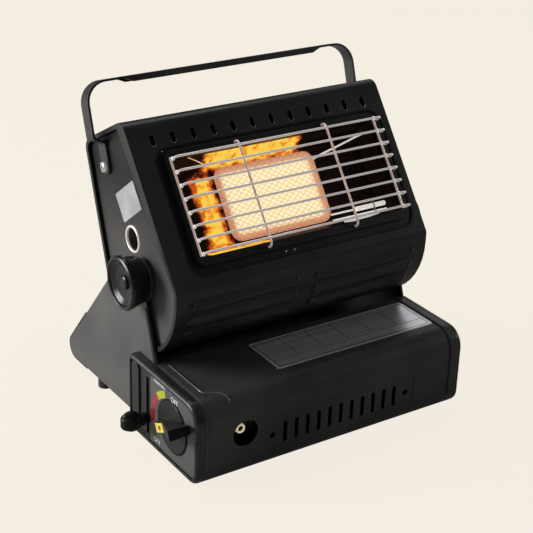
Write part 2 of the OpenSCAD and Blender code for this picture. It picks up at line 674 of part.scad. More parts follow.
// the pan's form, grown outwards by g
module pan(g) hull() {
  face_block(window_x - 1 - g, frame_v + border - 1 - g, pan_w - 0.1, window_w + 2 + 2*g,
    window_h + 2 + 2*g, 0.1, 6 + g, $fn = 24);
  face_block(window_x + pan_in - g, burn_v - 3 - g, -burner_deep - g, window_w - 2*pan_in + 2*g,
    burner_h + 6 + 2*g, 0.1, 8 + g, $fn = 24);
}
module reflector() color([0.55, 0.5, 0.45]) difference() {
  pan(pan_t);
  pan(0);
  on_face(0, 0, pan_w - 0.05) translate([0, -300, 0]) cube([400, 400, 10]);
  face_block(burn_x + 1, burn_v + 1, -burner_deep - 4, burner_w - 2, burner_h - 2, 8, 8);
}
module burner_box() color([0.5, 0.46, 0.42]) difference() {
  face_block(burn_x, burn_v, -burner_deep - pan_t - gap - burner_box_d, burner_w, burner_h,
    burner_box_d, 9);
  face_block(burn_x + 1, burn_v + 1, -burner_deep - pan_t - gap - burner_box_d + 1, burner_w - 2,
    burner_h - 2, burner_box_d, 8);
}
module ceramic_plaque() color([0.98, 0.9, 0.7])
  face_block(burn_x + 1 + gap, burn_v + 1 + gap, -burner_deep - plaque_t, burner_w - 2 - 2*gap,
    burner_h - 2 - 2*gap, plaque_t, 8 - gap);
module burner_rim() color([0.75, 0.5, 0.42]) difference() {
  face_block(burn_x - 1.2, burn_v - 1.2, -burner_deep + gap, burner_w + 2.4, burner_h + 2.4, rim_t, 10);
  face_block(burn_x + 4, burn_v + 4, -burner_deep - 1, burner_w - 8, burner_h - 8, 6, 7);
}
module mixer_tube() color([0.6, 0.6, 0.62]) difference() {
  rod(inlet[0], inlet[1], side_l + sheet + gap, burn_x - gap, inlet_d/2 - 1);
  rod(inlet[0], inlet[1], side_l, burn_x, inlet_d/2 - 2.2);
}
module inlet_ring() color(steel) translate([side_l, inlet[0], inlet[1]]) rotate([0, 90, 0])
  rotate_extrude() translate([inlet_d/2 - 1.6, 0]) circle(1.3);
// the bracket on the pan's floor, right of the burner, with the two rods it holds
rods_v = burn_v + burner_h + 4.8;
rod_w = -burner_deep + 11.5;
bracket_x = window_x + window_w - pan_in - 14;
module rod_at(dv, x0, x1, r) on_face(x0, rods_v + dv, rod_w) rotate([0, 90, 0]) cylinder(h = x1 - x0, r = r);
module sensor_bracket() color(steel) difference() {
  union() {
    // its upright leans out past the pan's lower wall
    on_face(bracket_x, rods_v, 0) rotate([90, 0, 90]) linear_extrude(sheet) polygon([
      [14, gap - burner_deep], [4, gap - burner_deep], [-2.3, rod_w - 2.6], [-2.3, rod_w + 2.6],
      [9.4, rod_w + 2.6], [14, rod_w - 4]]);
    face_block(bracket_x, rods_v - 14, -burner_deep + gap, 9, 10.8, sheet, 0.3);
  }
  rod_at(0, bracket_x - 1, bracket_x + 3, 1.6);
  rod_at(-6.4, bracket_x - 1, bracket_x + 3, 2.2);
}
module ignition_electrode() color([0.92, 0.9, 0.85]) {
  rod_at(-6.4, bracket_x - 18, bracket_x + 14, 2.2);
  rod_at(-6.4, bracket_x - 46, bracket_x - 18, 0.8);
}
module flame_sensor() color([0.85, 0.85, 0.85]) rod_at(0, bracket_x - 46, bracket_x + 14, 1.6);

// ---- tilt axis ----
module tilt_stud() {
  rod(pivot_y, pivot_z, plate_x - knob_l*0.7, side_l + sheet + 6, stud_r);
  rod(pivot_y, pivot_z, in_l + gap, side_l, 9);
  rod(pivot_y, pivot_z, side_l + sheet, side_l + sheet + 4, 7);
}
mid = (plate_x + plate_xr)/2;
module flip() translate([2*mid, 0, 0]) mirror([1, 0, 0]) children();
module tilt_stud_left() color(steel) tilt_stud();
module tilt_stud_right() color(steel) flip() tilt_stud();
module tilt_knob() translate([plate_x - knob_gap, pivot_y, pivot_z]) rotate([0, -90, 0])
  difference() {
    rotate_extrude() polygon([[0, 0], [knob_d/2 - 5, 0], [knob_d/2 - 4, 1.5], [knob_d/2 - 2.2, knob_l*0.45],
      [knob_d/2 - 0.6, knob_l*0.72], [knob_d/2, knob_l - 2.6], [knob_d/2 - 0.8, knob_l - 0.8],
      [knob_d/2 - 2.2, knob_l], [knob_d/2 - 3.6, knob_l - 0.6], [knob_d/2 - 4.6, knob_l - 2],
      [knob_d/2 - 9, knob_l - 4.4], [6.4, knob_l - 5.6], [6, knob_l - 4], [4.8, knob_l - 3.2],
      [0, knob_l - 3]]);
    translate([0, 0, -1]) cylinder(h = knob_l*0.7 + 1.5, r = stud_r + run);
  }
module tilt_knob_left() color([0.1, 0.1, 0.105]) tilt_knob();
module tilt_knob_right() color([0.1, 0.1, 0.105]) flip() tilt_knob();

// ---- handle ----
screw = at_pivot([68.9, 79.4]);
leg_x = head_x - 9;                     // outer face of the handle's leg
foot_x = side_l - gap - strap_t;        // outer face of its foot
joggle_z = 26;
leg_bend = 20;
grip_taper = 14;                        // length of the grip's sloping ends
module handle_frame() translate([0, screw[0], screw[1]]) rotate([-handle_lean, 0, 0]) children();
// one side of the strap's outline as it rises, shifted inwards by t
function rise(t) = [[foot_x + t, -strap_w/2, 0], [foot_x + t, joggle_z - 5.5 + t*0.6, 3],
  [leg_x + t, joggle_z - 0.6 + t*0.6, 3], [leg_x + t, handle_h + strap_t/2 - t, leg_bend - t]];
function mirrored(c) = [for (p = c) [2*mid - p[0], p[1], p[2]]];
function reversed(c) = [for (i = [len(c) - 1:-1:0]) c[i]];
module handle_strap() color(black) difference() {
  handle_frame() {
    translate([0, strap_w/2, 0]) rotate([90, 0, 0]) linear_extrude(strap_w)
      outline(concat(mirrored(rise(0)), reversed(rise(0)), rise(strap_t),
        reversed(mirrored(rise(strap_t)))));
    // the grip, folded down along both edges
    translate([mid - handle_grip_l/2, 0, handle_h + strap_t/2]) rotate([90, 0, 90])
      linear_extrude(handle_grip_l) difference() {
        translate([-strap_w/2 - 2, -grip_fold]) square([strap_w + 4, grip_fold]);
        translate([-strap_w/2 - 0.4, -grip_fold - 1]) square([strap_w + 0.8, grip_fold + 1 - strap_t]);
      }
  }
  handle_frame() {
    // the folded edges fade into the flat strap at both ends
    for (m = [0, 1]) translate([mid, strap_w, handle_h - strap_t/2]) mirror([m, 0, 0])
      rotate([90, 0, 0]) linear_extrude(2*strap_w) polygon([[handle_grip_l/2 + 1, 0],
        [handle_grip_l/2 - 1, 0], [handle_grip_l/2 - grip_taper, -grip_fold],
        [handle_grip_l/2 + 1, -grip_fold]]);
    // round the feet's ends about their screws
    for (m = [0, 1]) translate([m*2*mid, 0, 0]) mirror([m, 0, 0]) difference() {
      translate([foot_x - 1, -strap_w, -strap_w]) cube([strap_t + 2, 2*strap_w, strap_w]);
      rod(0, 0, foot_x - 2, foot_x + strap_t + 2, strap_w/2);
    }
  }
  rod(screw[0], screw[1], 0, base_w, screw_r + run);
}
screw_r = 2.5;
module handle_screw() {
  rod(screw[0], screw[1], side_l - gap - strap_t - gap - 2.4, side_l - gap - strap_t - gap, 4.5);
  rod(screw[0], screw[1], side_l - 2*gap - strap_t, side_l, screw_r);
}
module handle_screws() color(steel) { handle_screw(); flip() handle_screw(); }

place() base_shell();
place() side_plate_left();
place() side_plate_right();
place() rear_panel();
place() floor_pan();
place() end_cap_left();
place() end_cap_right();
place() dial_panel();
place() feet();
place() rear_feet();
place() hinge_pin();
place() valve_body();
place() regulator();
place() hose_nozzle();
place() cartridge_guide();
place() lid();
place() valve_knob();
place() valve_spindle();
place() lock_lever();
place() lever_slider();
place() head_shell();
place() head_side_left();
place() head_side_right();
place() head_rear();
place() window_frame();
place() guard_bars();
place() guard_stays();
place() reflector();
place() burner_box();
place() burner_rim();
place() ceramic_plaque();
place() mixer_tube();
place() inlet_ring();
place() sensor_bracket();
place() ignition_electrode();
place() flame_sensor();
place() tilt_stud_left();
place() tilt_stud_right();
place() handle_strap();
place() handle_screws();
place() tilt_knob_left();
place() tilt_knob_right();
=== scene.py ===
# %% [markdown]
# # A portable gas radiant heater
# The solids of the heater come from its CAD model and already stand where they belong. This lesson
# dresses them: it gives every sheet, wire and casting its finish, adds the thin things that a CAD model
# leaves out, and sets up a plain studio. All lengths are in metres, +Z is up, and the front faces -Y.

import math

import bmesh
import bpy
from mathutils import Matrix, Vector


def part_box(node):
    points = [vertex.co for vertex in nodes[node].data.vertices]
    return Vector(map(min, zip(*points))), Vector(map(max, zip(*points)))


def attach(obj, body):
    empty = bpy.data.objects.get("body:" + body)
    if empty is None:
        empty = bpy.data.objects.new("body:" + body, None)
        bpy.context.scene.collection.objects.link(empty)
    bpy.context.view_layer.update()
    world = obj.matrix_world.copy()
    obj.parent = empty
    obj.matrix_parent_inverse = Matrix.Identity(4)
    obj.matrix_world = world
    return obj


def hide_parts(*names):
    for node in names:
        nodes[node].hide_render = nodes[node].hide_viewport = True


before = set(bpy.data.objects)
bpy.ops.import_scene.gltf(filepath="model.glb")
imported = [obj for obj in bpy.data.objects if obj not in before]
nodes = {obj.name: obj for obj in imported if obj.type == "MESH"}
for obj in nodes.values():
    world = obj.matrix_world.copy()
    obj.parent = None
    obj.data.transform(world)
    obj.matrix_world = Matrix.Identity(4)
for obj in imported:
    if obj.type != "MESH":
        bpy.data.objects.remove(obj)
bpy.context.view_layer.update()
print("nodes:", len(nodes))

# %% [markdown]
# ## Places on the heater
# The heater was measured from its left end cap, its front and the ground, in millimetres. One small
# function turns such a place into the frame's own metres. The head's front leans back, so places on it
# are easier to give as a distance across, a distance down the face and a height above it. A second
# function turns those into the same metres, and three fixed directions serve for building on the face.

# %% Places
HALF_W, HALF_D = 138.65, 128.89          # from the measured corner to the frame's origin
FACE_TILT = math.radians(37.3)
BROW_Y, BROW_Z = 148.69, 283.18          # the face's upper edge, before it is rounded


def at(x, y, z):
    return Vector(((x - HALF_W) / 1000, (y - HALF_D) / 1000, z / 1000))


def on_face(x, down, out):
    y = BROW_Y - down * math.sin(FACE_TILT) - out * math.cos(FACE_TILT)
    z = BROW_Z - down * math.cos(FACE_TILT) + out * math.sin(FACE_TILT)
    return at(x, y, z)


ACROSS = Vector((1, 0, 0))
UP_FACE = Vector((0, math.sin(FACE_TILT), math.cos(FACE_TILT)))
OUT_FACE = ACROSS.cross(UP_FACE)
print("the face's upper left corner:", [round(v, 4) for v in on_face(11.5, 0, 0)])

# %% [markdown]
# ## The camera
# A product like this is seen from its control end, a little above, through a long lens, so that its
# edges stay nearly parallel. The camera's directions are built from three angles and set as a matrix,
# which also takes the slight roll that a constraint would lose.

# %% Camera
def aim_camera(place, yaw, pitch, roll, lens):
    yaw, pitch, roll = (math.radians(v) for v in (yaw, pitch, roll))
    ahead = Vector((-math.sin(yaw) * math.cos(pitch), math.cos(yaw) * math.cos(pitch), -math.sin(pitch)))
    right = Vector((math.cos(yaw), math.sin(yaw), 0))
    up = right.cross(ahead)
    side = right * math.cos(roll) + up * math.sin(roll)
    top = up * math.cos(roll) - right * math.sin(roll)
    data = bpy.data.cameras.new("camera")
    data.lens, data.sensor_width, data.sensor_fit = lens, 36, "HORIZONTAL"
    data.clip_end = 20
    camera = bpy.data.objects.new("camera", data)
    bpy.context.scene.collection.objects.link(camera)
    turn = Matrix((side, top, -ahead)).transposed().to_4x4()
    camera.matrix_world = Matrix.Translation(place) @ turn
    bpy.context.scene.camera = camera
    return camera


camera = aim_camera(at(-509.6, -845.4, 669.9), yaw=-34.13, pitch=24.88, roll=1.87, lens=94.2)
print("camera at", [round(v, 3) for v in camera.location])

# %% [markdown]
# ## Building materials from nodes
# Each finish is a small node tree round one Principled shader. A helper makes the tree and sets the plain
# values on the shader's own sockets; only what varies over the surface is linked. Noise is read in object
# coordinates, which are metres here, so a scale of 1000 gives grains of a millimetre. The last helpers
# each add one step of arithmetic to a tree and give back its result.

# %% Material helpers
def finish(name, color, rough, metallic=0.0, specular=0.5):
    material = bpy.data.materials.new(name)
    material.use_nodes = True
    tree = material.node_tree
    shader = tree.nodes["Principled BSDF"]
    shader.inputs["Base Color"].default_value = (*color, 1)
    shader.inputs["Roughness"].default_value = rough
    shader.inputs["Metallic"].default_value = metallic
    shader.inputs["Specular IOR Level"].default_value = specular
    return material, tree, shader


def adjust(material, **values):
    sockets = material.node_tree.nodes["Principled BSDF"].inputs
    for key, value in values.items():
        sockets[key.replace("_", " ")].default_value = value


def node(tree, kind, **values):
    made = tree.nodes.new(kind)
    for key, value in values.items():
        if hasattr(made, key):
            setattr(made, key, value)
        else:
            made.inputs[key.replace("_", " ")].default_value = value
    return made


def grain(tree, scale, detail=3.0, stretch=(1, 1, 1)):
    where = tree.nodes.new("ShaderNodeTexCoord")
    mapped = node(tree, "ShaderNodeMapping")
    mapped.inputs["Scale"].default_value = stretch
    tree.links.new(where.outputs["Object"], mapped.inputs["Vector"])
    noise = node(tree, "ShaderNodeTexNoise", Scale=scale, Detail=detail)
    tree.links.new(mapped.outputs["Vector"], noise.inputs["Vector"])
    return noise.outputs["Fac"]


def span(tree, source, low, high, start=0.3, end=0.7):
    ramp = node(tree, "ShaderNodeMapRange")
    ramp.inputs["From Min"].default_value = start
    ramp.inputs["From Max"].default_value = end
    ramp.inputs["To Min"].default_value = low
    ramp.inputs["To Max"].default_value = high
    tree.links.new(source, ramp.inputs["Value"])
    return ramp.outputs["Result"]


def tint(tree, source, dark, light, start=0.35, end=0.65):
    ramp = tree.nodes.new("ShaderNodeValToRGB")
    ramp.color_ramp.elements[0].position, ramp.color_ramp.elements[0].color = start, (*dark, 1)
    ramp.color_ramp.elements[1].position, ramp.color_ramp.elements[1].color = end, (*light, 1)
    tree.links.new(source, ramp.inputs["Fac"])
    return ramp.outputs["Color"]


def bump(tree, shader, source, strength, depth):
    made = node(tree, "ShaderNodeBump", Strength=strength, Distance=depth)
    tree.links.new(source, made.inputs["Height"])
    tree.links.new(made.outputs["Normal"], shader.inputs["Normal"])
    return made


def vector_step(tree, operation, source, value=None):
    made = node(tree, "ShaderNodeVectorMath", operation=operation)
    tree.links.new(source, made.inputs[0])
    if value is not None:
        made.inputs[1].default_value = value
    return made.outputs["Value" if operation in ("LENGTH", "DOT_PRODUCT") else "Vector"]


def math_step(tree, operation, first, second, clamp=False):
    made = node(tree, "ShaderNodeMath", operation=operation, use_clamp=clamp)
    tree.links.new(first, made.inputs[0])
    if isinstance(second, float):
        made.inputs[1].default_value = second
    else:
        tree.links.new(second, made.inputs[1])
    return made.outputs[0]


def ramp_of(tree, source, stops):
    ramp = tree.nodes.new("ShaderNodeValToRGB")
    for i, (place, color) in enumerate(stops):
        stop = ramp.color_ramp.elements[i] if i < 2 else ramp.color_ramp.elements.new(place)
        stop.position, stop.color = place, (*color, 1)
    tree.links.new(source, ramp.inputs["Fac"])
    return ramp.outputs["Color"]


def way_it_faces(tree, direction):
    normal = tree.nodes.new("ShaderNodeTexCoord").outputs["Normal"]
    return vector_step(tree, "DOT_PRODUCT", normal, direction)


print("helpers ready")

# %% [markdown]
# ## Powder coat
# The sheets are sprayed with black powder and baked. The coat is satin, with a fine orange peel that
# breaks up the highlights, and it is a touch greyer where hands and cloths have rubbed it. Two noises do
# this: a fine one for the peel, and a slow one for the sheen and the tone. Real edges are never knife
# sharp, so a bevel node rounds the shading at every fold, which lets it catch a thin highlight.

# %% Powder coat
COAT_DARK, COAT_LIGHT = (0.82, 0.82, 0.84), (1.22, 1.2, 1.16)     # shares of the tone, fresh and rubbed


def powder_coat(name, tone, rough, peel=0.22, gloss=0.5, round_edge=0.0007):
    material, tree, shader = finish(name, (tone, tone, tone), rough, specular=gloss)
    slow = grain(tree, 14, 4)
    dark, light = (tuple(tone * share for share in shares) for shares in (COAT_DARK, COAT_LIGHT))
    tree.links.new(tint(tree, slow, dark, light), shader.inputs["Base Color"])
    tree.links.new(span(tree, slow, rough - 0.05, rough + 0.07), shader.inputs["Roughness"])
    made = bump(tree, shader, grain(tree, 900, 2), peel, 0.0002)
    edge = tree.nodes.new("ShaderNodeBevel")
    edge.samples = 4
    edge.inputs["Radius"].default_value = round_edge
    tree.links.new(edge.outputs["Normal"], made.inputs["Normal"])
    return material


# Painted light: most of these black coats are copies of one powder coat, each with a tone set for the light
# its part gets. The sides, which face the key lamp, are lighter, and the head's front is darker.
coat = powder_coat("black_powder_coat", 0.021, 0.34, gloss=0.28)
base_coat = powder_coat("black_base_coat", 0.042, 0.34, gloss=0.3)
lid_coat = powder_coat("black_lid_coat", 0.052, 0.36, gloss=0.14)
pan_coat = powder_coat("black_floor_pan_coat", 0.006, 0.6, gloss=0.05)
side_coat_painted = powder_coat("black_side_coat_painted_light", 0.095, 0.42, gloss=0.35)
right_side_coat_painted = powder_coat("black_right_side_coat_painted_light", 0.095, 0.42, gloss=0.35)
head_side_coat_painted = powder_coat("black_head_side_coat_painted_light", 0.088, 0.42, gloss=0.2, round_edge=0.0012)
cap_coat = powder_coat("black_cap_coat", 0.02, 0.28, gloss=0.36)
handle_coat = powder_coat("black_handle_coat", 0.037, 0.36, gloss=0.3)
tray_coat = powder_coat("black_heatproof_coat", 0.006, 0.4, peel=0.35, gloss=0.22)
panel_coat = powder_coat("grey_panel_coat", 0.1, 0.42)
# Painted shade: the hems' coat is darker than the plates they are folded from.
hem_coat_shaded = powder_coat("black_hem_painted_shade", 0.014, 0.3, gloss=0.4)
# Painted highlight: a pale, glossy coat for thin lips and beads, much lighter than the black sheets they lie
# on.
lip_coat_highlighted = powder_coat("pressed_lip_painted_highlight", 0.16, 0.16, peel=0.05, gloss=1.0)
print("coats:", coat.name, side_coat_painted.name, cap_coat.name, tray_coat.name, panel_coat.name)

# %% [markdown]
# ## Painted shade on the sides
# The head's sides are painted darker towards the top: painted shade. The stand's plates are painted
# darker and duller on the side that faces inwards: painted shade as well. Both scale the coat's own tone,
# one by the height in the frame and the other by the way the surface faces.

# %% Painted shade on the sides
SHADE_FROM, SHADE_TO = -0.6, 0.2           # how far a surface faces outwards: full painted shade, and none


def darken(material, share):
    tree = material.node_tree
    base = tree.nodes["Principled BSDF"].inputs["Base Color"]
    scaled = node(tree, "ShaderNodeVectorMath", operation="SCALE")
    tree.links.new(base.links[0].from_socket, scaled.inputs[0])
    tree.links.new(share, scaled.inputs["Scale"])
    tree.links.new(scaled.outputs["Vector"], base)


def painted_shade_upwards(material, low, high, least):
    tree = material.node_tree
    split = tree.nodes.new("ShaderNodeSeparateXYZ")
    tree.links.new(tree.nodes.new("ShaderNodeTexCoord").outputs["Object"], split.inputs[0])
    darken(material, span(tree, split.outputs["Z"], 1.0, least, low, high))


def painted_shade_inside(material, outward, least):
    tree = material.node_tree
    facing = way_it_faces(tree, outward)
    darken(material, span(tree, facing, least, 1.0, SHADE_FROM, SHADE_TO))
    # the inward side's sheen is cut too: part of the same painted shade
    shine = span(tree, facing, 0.08, 0.35, SHADE_FROM, SHADE_TO)
    tree.links.new(shine, tree.nodes["Principled BSDF"].inputs["Specular IOR Level"])


# painted shade: darker towards the top of the head's sides, and on the stand plates' inner faces
painted_shade_upwards(head_side_coat_painted, low=0.15, high=0.225, least=0.1)
painted_shade_inside(side_coat_painted, outward=(-1, 0, 0), least=0.12)
painted_shade_inside(right_side_coat_painted, outward=(1, 0, 0), least=0.12)
print("shaded_top:", head_side_coat_painted.name, "shaded_inside:", side_coat_painted.name, right_side_coat_painted.name)

# %% [markdown]
# ## Metals
# The guard is polished stainless wire, the screws and studs are plain zinc plated steel, the valve is a
# dull zinc casting and the nozzle is turned brass. A metal's look is mostly its roughness: turned and
# drawn metal is streaked along its length, so its noise is stretched. The burner's light on the guard, the
# welds and the nozzle is painted: their metals emit a little, and the uprights' pink tint is painted light
# too.

# %% Metals
def bare_metal(name, color, rough, scale, stretch=(1, 1, 1), spread=0.08, rub=0.1):
    material, tree, shader = finish(name, color, rough, metallic=1.0)
    streak = grain(tree, scale, 3, stretch)
    dark = tuple(c * 0.8 for c in color)
    tree.links.new(tint(tree, streak, dark, color), shader.inputs["Base Color"])
    tree.links.new(span(tree, streak, rough - spread, rough + spread), shader.inputs["Roughness"])
    bump(tree, shader, streak, rub, 0.0001)
    return material


WIRE_STREAK, TURNED_STREAK = (0.05, 1, 1), (0.2, 3, 0.2)         # how the noise is stretched
wire_metal = bare_metal("polished_wire", (0.9, 0.87, 0.85), 0.28, 90, WIRE_STREAK)
# painted light: the uprights' pink tint stands for the burner's glow on them
stay_metal = bare_metal("wire_painted_burner_light", (0.9, 0.74, 0.7), 0.28, 90, WIRE_STREAK)
weld_metal = bare_metal("weld_painted_glint", (0.95, 0.94, 0.93), 0.3, 200)
# painted light: the wires and welds emit, for the burner's light on them; the welds' brighter emission is a
# painted glint
for wire, lit, strength in ((weld_metal, (1.0, 0.96, 0.94, 1), 0.4), (wire_metal, (1.0, 0.9, 0.86, 1), 0.17),
                            (stay_metal, (1.0, 0.7, 0.64, 1), 0.17)):
    adjust(wire, Metallic=0.45, Emission_Color=lit, Emission_Strength=strength)
zinc_metal = bare_metal("zinc_plated_steel", (0.6, 0.6, 0.61), 0.32, 260)
cast_metal = bare_metal("zinc_casting", (0.42, 0.41, 0.39), 0.5, 420, rub=0.4)
brass_metal = bare_metal("turned_brass", (0.95, 0.78, 0.4), 0.24, 300, TURNED_STREAK)
# painted light: the nozzle's brass emits a little
adjust(brass_metal, Emission_Color=(1.0, 0.85, 0.5, 1), Emission_Strength=0.22)
silver_metal = bare_metal("brushed_silver_plate", (0.86, 0.87, 0.89), 0.36, 340, (0.03, 1, 1), spread=0.06,
                          rub=0.03)
adjust(silver_metal, Metallic=0.66)
print("metals:", wire_metal.name, zinc_metal.name, cast_metal.name, brass_metal.name)

# %% [markdown]
# ## Distances on the face
# The pan and the plaque glow by place, so their materials need to know how far a point lies from a box
# on the leaning face. The point is turned into the face's own directions, its distance from the box's
# middle is taken along each, and what reaches past the box's half size is measured.

# %% Distance to a box
BURNER = (90.0, 53.0, 105.5, 67.5)       # left, top, width and height on the face
BURNER_MIDDLE = on_face(BURNER[0] + BURNER[2] / 2, BURNER[1] + BURNER[3] / 2, -18)


def face_places(tree, middle):
    where = tree.nodes.new("ShaderNodeTexCoord")
    turned = node(tree, "ShaderNodeMapping", vector_type="TEXTURE")
    turned.inputs["Location"].default_value = middle
    turned.inputs["Rotation"].default_value = (math.pi / 2 - FACE_TILT, 0, 0)
    tree.links.new(where.outputs["Object"], turned.inputs["Vector"])
    return turned.outputs["Vector"]


def distance_to_box(tree, middle, half):
    place = vector_step(tree, "ABSOLUTE", face_places(tree, middle))
    outside = vector_step(tree, "MAXIMUM", vector_step(tree, "SUBTRACT", place, half), (0, 0, 0))
    return vector_step(tree, "LENGTH", outside)


print("the burner's middle:", [round(v, 4) for v in BURNER_MIDDLE])

# %% [markdown]
# ## The pan's painted reflection
# The pan behind the burner is dark, polished steel. Its walls would mirror the burner in the strip above
# it and the band on its left; that reflection is painted as emission, and the dark base colour leaves the
# far end black, painted shade where it would mirror the burner too. The painted reflection lies in three
# zones, over, beside and under the burner: the distance to the nearest zone drives one colour ramp, and a
# noise frays it. The back of the pan stays dark: the painted reflection's strength falls to nothing where
# the surface turns away from the window.

# %% Pan with painted reflection
# each zone of painted reflection: left, right, top and bottom on the face, and how far it reaches, in metres
ZONES = [(86, 176, 42, 49, 0.008), (72, 81, 62, 118, 0.009), (60, 118, 127, 129, 0.005)]
ZONE_OUT, ZONE_DEEP = -10, 0.05          # their place behind the face, and half their depth in metres
# the ramp's two ends first, then the stops between them
PAN_REFLECTION = [(0.0, (0.95, 0.62, 0.08)), (1.0, (0.0015, 0.0003, 0.0002)), (0.24, (0.9, 0.31, 0.022)),
            (0.5, (0.5, 0.08, 0.008)), (0.78, (0.09, 0.01, 0.003))]


def steel_painted_reflection(name, color, rough):
    material, tree, shader = finish(name, color, rough, metallic=1.0)
    nearest = None
    for left, right, top, bottom, reach in ZONES:
        middle = on_face((left + right) / 2, (top + bottom) / 2, ZONE_OUT)
        half = ((right - left) / 2000, (bottom - top) / 2000, ZONE_DEEP)
        far = span(tree, distance_to_box(tree, middle, half), 0, 3, 0.0, 3 * reach)
        nearest = far if nearest is None else math_step(tree, "MINIMUM", nearest, far)
    fray = span(tree, grain(tree, 170, 3), -0.38, 0.38)
    # painted reflection of the burner, emitted by the pan's walls
    glow = ramp_of(tree, math_step(tree, "ADD", nearest, fray), PAN_REFLECTION)
    tree.links.new(glow, shader.inputs["Emission Color"])
    front_only = math_step(tree, "ADD", way_it_faces(tree, OUT_FACE), 1.0, clamp=True)
    tree.links.new(front_only, shader.inputs["Emission Strength"])
    streaks = grain(tree, 240, 3, (0.08, 1, 1))
    tree.links.new(span(tree, streaks, rough - 0.06, rough + 0.1), shader.inputs["Roughness"])
    bump(tree, shader, streaks, 0.1, 0.0002)
    return material


pan_metal = steel_painted_reflection("dark_pan_painted_reflection", (0.016, 0.013, 0.012), 0.3)
box_metal = bare_metal("heat_tinted_box", (0.45, 0.38, 0.32), 0.42, 200, (0.2, 1, 1))
print("hot metals:", pan_metal.name, box_metal.name)

# %% [markdown]
# ## The glowing plaque
# The burner is a ceramic plate full of tiny holes. Gas burns just in front of it, so it glows nearly
# white in the middle and salmon where it is cooler at the edge. It is a light source, so its shader
# emits. The same box distance, taken from a smaller box, gives the cooler edge.

# %% Glowing plaque
INNER = (0.042, 0.0235, 0.05)            # half the size of the hottest part, in metres


def glowing(name, hot, cool, reach):
    material, tree, shader = finish(name, (0.06, 0.05, 0.045), 0.8)
    fray = span(tree, grain(tree, 420, 3), -0.0016, 0.0016)
    far = math_step(tree, "ADD", distance_to_box(tree, BURNER_MIDDLE, INNER), fray)
    heat = ramp_of(tree, span(tree, far, 0, 1, 0.0, reach), [(0.0, hot), (1.0, cool)])
    tree.links.new(heat, shader.inputs["Emission Color"])
    adjust(material, Emission_Strength=1.0)
    return material


plaque_glow = glowing("glowing_ceramic", (0.98, 0.89, 0.56), (0.78, 0.35, 0.2), 0.0115)
rim_glow = glowing("glowing_rim", (0.8, 0.42, 0.24), (0.5, 0.17, 0.1), 0.014)
net_glow = glowing("glowing_net", (0.82, 0.58, 0.28), (0.33, 0.09, 0.055), 0.0115)
print("glow:", plaque_glow.name, rim_glow.name, net_glow.name)

# %% [markdown]
# ## Plastic, rubber and ceramic
# The knobs and the lever are moulded in black plastic with a fine spark-eroded texture, the feet are soft
# black rubber, and the igniter's ceramic is white, with the burner's light on it painted as emission. They
# differ in tone, roughness and in how coarse their bump is.

# %% Plastic, rubber, ceramic
def moulded(name, color, rough, scale, depth):
    material, tree, shader = finish(name, color, rough)
    pits = grain(tree, scale, 4)
    light = tuple(min(1, c * 1.35 + 0.002) for c in color)
    tree.links.new(tint(tree, pits, color, light), shader.inputs["Base Color"])
    tree.links.new(span(tree, pits, rough - 0.06, rough + 0.08), shader.inputs["Roughness"])
    bump(tree, shader, pits, 0.3, depth)
    return material


knob_plastic = moulded("black_knob_plastic", (0.007, 0.007, 0.0075), 0.38, 1300, 0.00008)
adjust(knob_plastic, Specular_IOR_Level=0.2)
tilt_plastic = moulded("glossy_knob_plastic", (0.005, 0.005, 0.0055), 0.27, 1300, 0.00008)
adjust(tilt_plastic, Specular_IOR_Level=0.42)
foot_rubber = moulded("black_foot_rubber", (0.02, 0.02, 0.02), 0.75, 500, 0.0002)
lit_ceramic = moulded("ceramic_painted_burner_light", (0.8, 0.78, 0.74), 0.3, 300, 0.00005)
# painted light: the ceramic emits, for the burner's light on it
adjust(lit_ceramic, Emission_Color=(1.0, 0.93, 0.86, 1), Emission_Strength=0.5)
print("moulded:", knob_plastic.name, tilt_plastic.name, foot_rubber.name, lit_ceramic.name)

# %% [markdown]
# ## Dressing the CAD parts
# Every CAD node takes one finish. The table below reads like a parts list, one finish to a line.

# %% Dress the nodes
DRESS = {
    coat: ["head_shell", "head_rear"],
    base_coat: ["base_shell", "rear_panel"],
    lid_coat: ["lid"],
    pan_coat: ["floor_pan"],
    handle_coat: ["handle_strap"],
    side_coat_painted: ["side_plate_left"],
    right_side_coat_painted: ["side_plate_right"],
    head_side_coat_painted: ["head_side_left", "head_side_right"],
    cap_coat: ["end_cap_left", "end_cap_right"],
    tray_coat: ["window_frame"],
    panel_coat: ["dial_panel"],
    # painted light: the polished wire's emission reaches the inlet ring and the handle's screws too
    wire_metal: ["guard_bars", "inlet_ring", "handle_screws"],
    stay_metal: ["guard_stays"],
    zinc_metal: ["hinge_pin", "cartridge_guide", "valve_spindle", "lever_slider", "sensor_bracket",
                 "tilt_stud_left", "tilt_stud_right"],
    cast_metal: ["valve_body", "regulator"],
    brass_metal: ["hose_nozzle"],
    pan_metal: ["reflector"],
    box_metal: ["burner_box", "mixer_tube"],
    rim_glow: ["burner_rim"],
    plaque_glow: ["ceramic_plaque"],
    knob_plastic: ["valve_knob", "lock_lever"],
    tilt_plastic: ["tilt_knob_left", "tilt_knob_right"],
    foot_rubber: ["feet", "rear_feet"],
    # painted light: the igniter and the sensor emit through the ceramic's finish
    lit_ceramic: ["ignition_electrode", "flame_sensor"],
}
for material, names in DRESS.items():
    for name in names:
        nodes[name].data.materials.clear()
        nodes[name].data.materials.append(material)
print("dressed:", sum(len(names) for names in DRESS.values()), "of", len(nodes))

# %% [markdown]
# ## A studio floor and soft light
# The heater stands on a pale cream sweep. The floor keeps its shadow, yet has to read as one even tone, so
# its shader mixes a little of the real, lit surface with a plain tone that the camera sees. Four soft
# lamps do the rest: a broad key from the rear left, which leaves the front dark, a weak fill from the
# front right, a strip above and behind that draws the long highlights on the rolled edges, and a small
# lamp at the rear right that the plate on the lid mirrors.

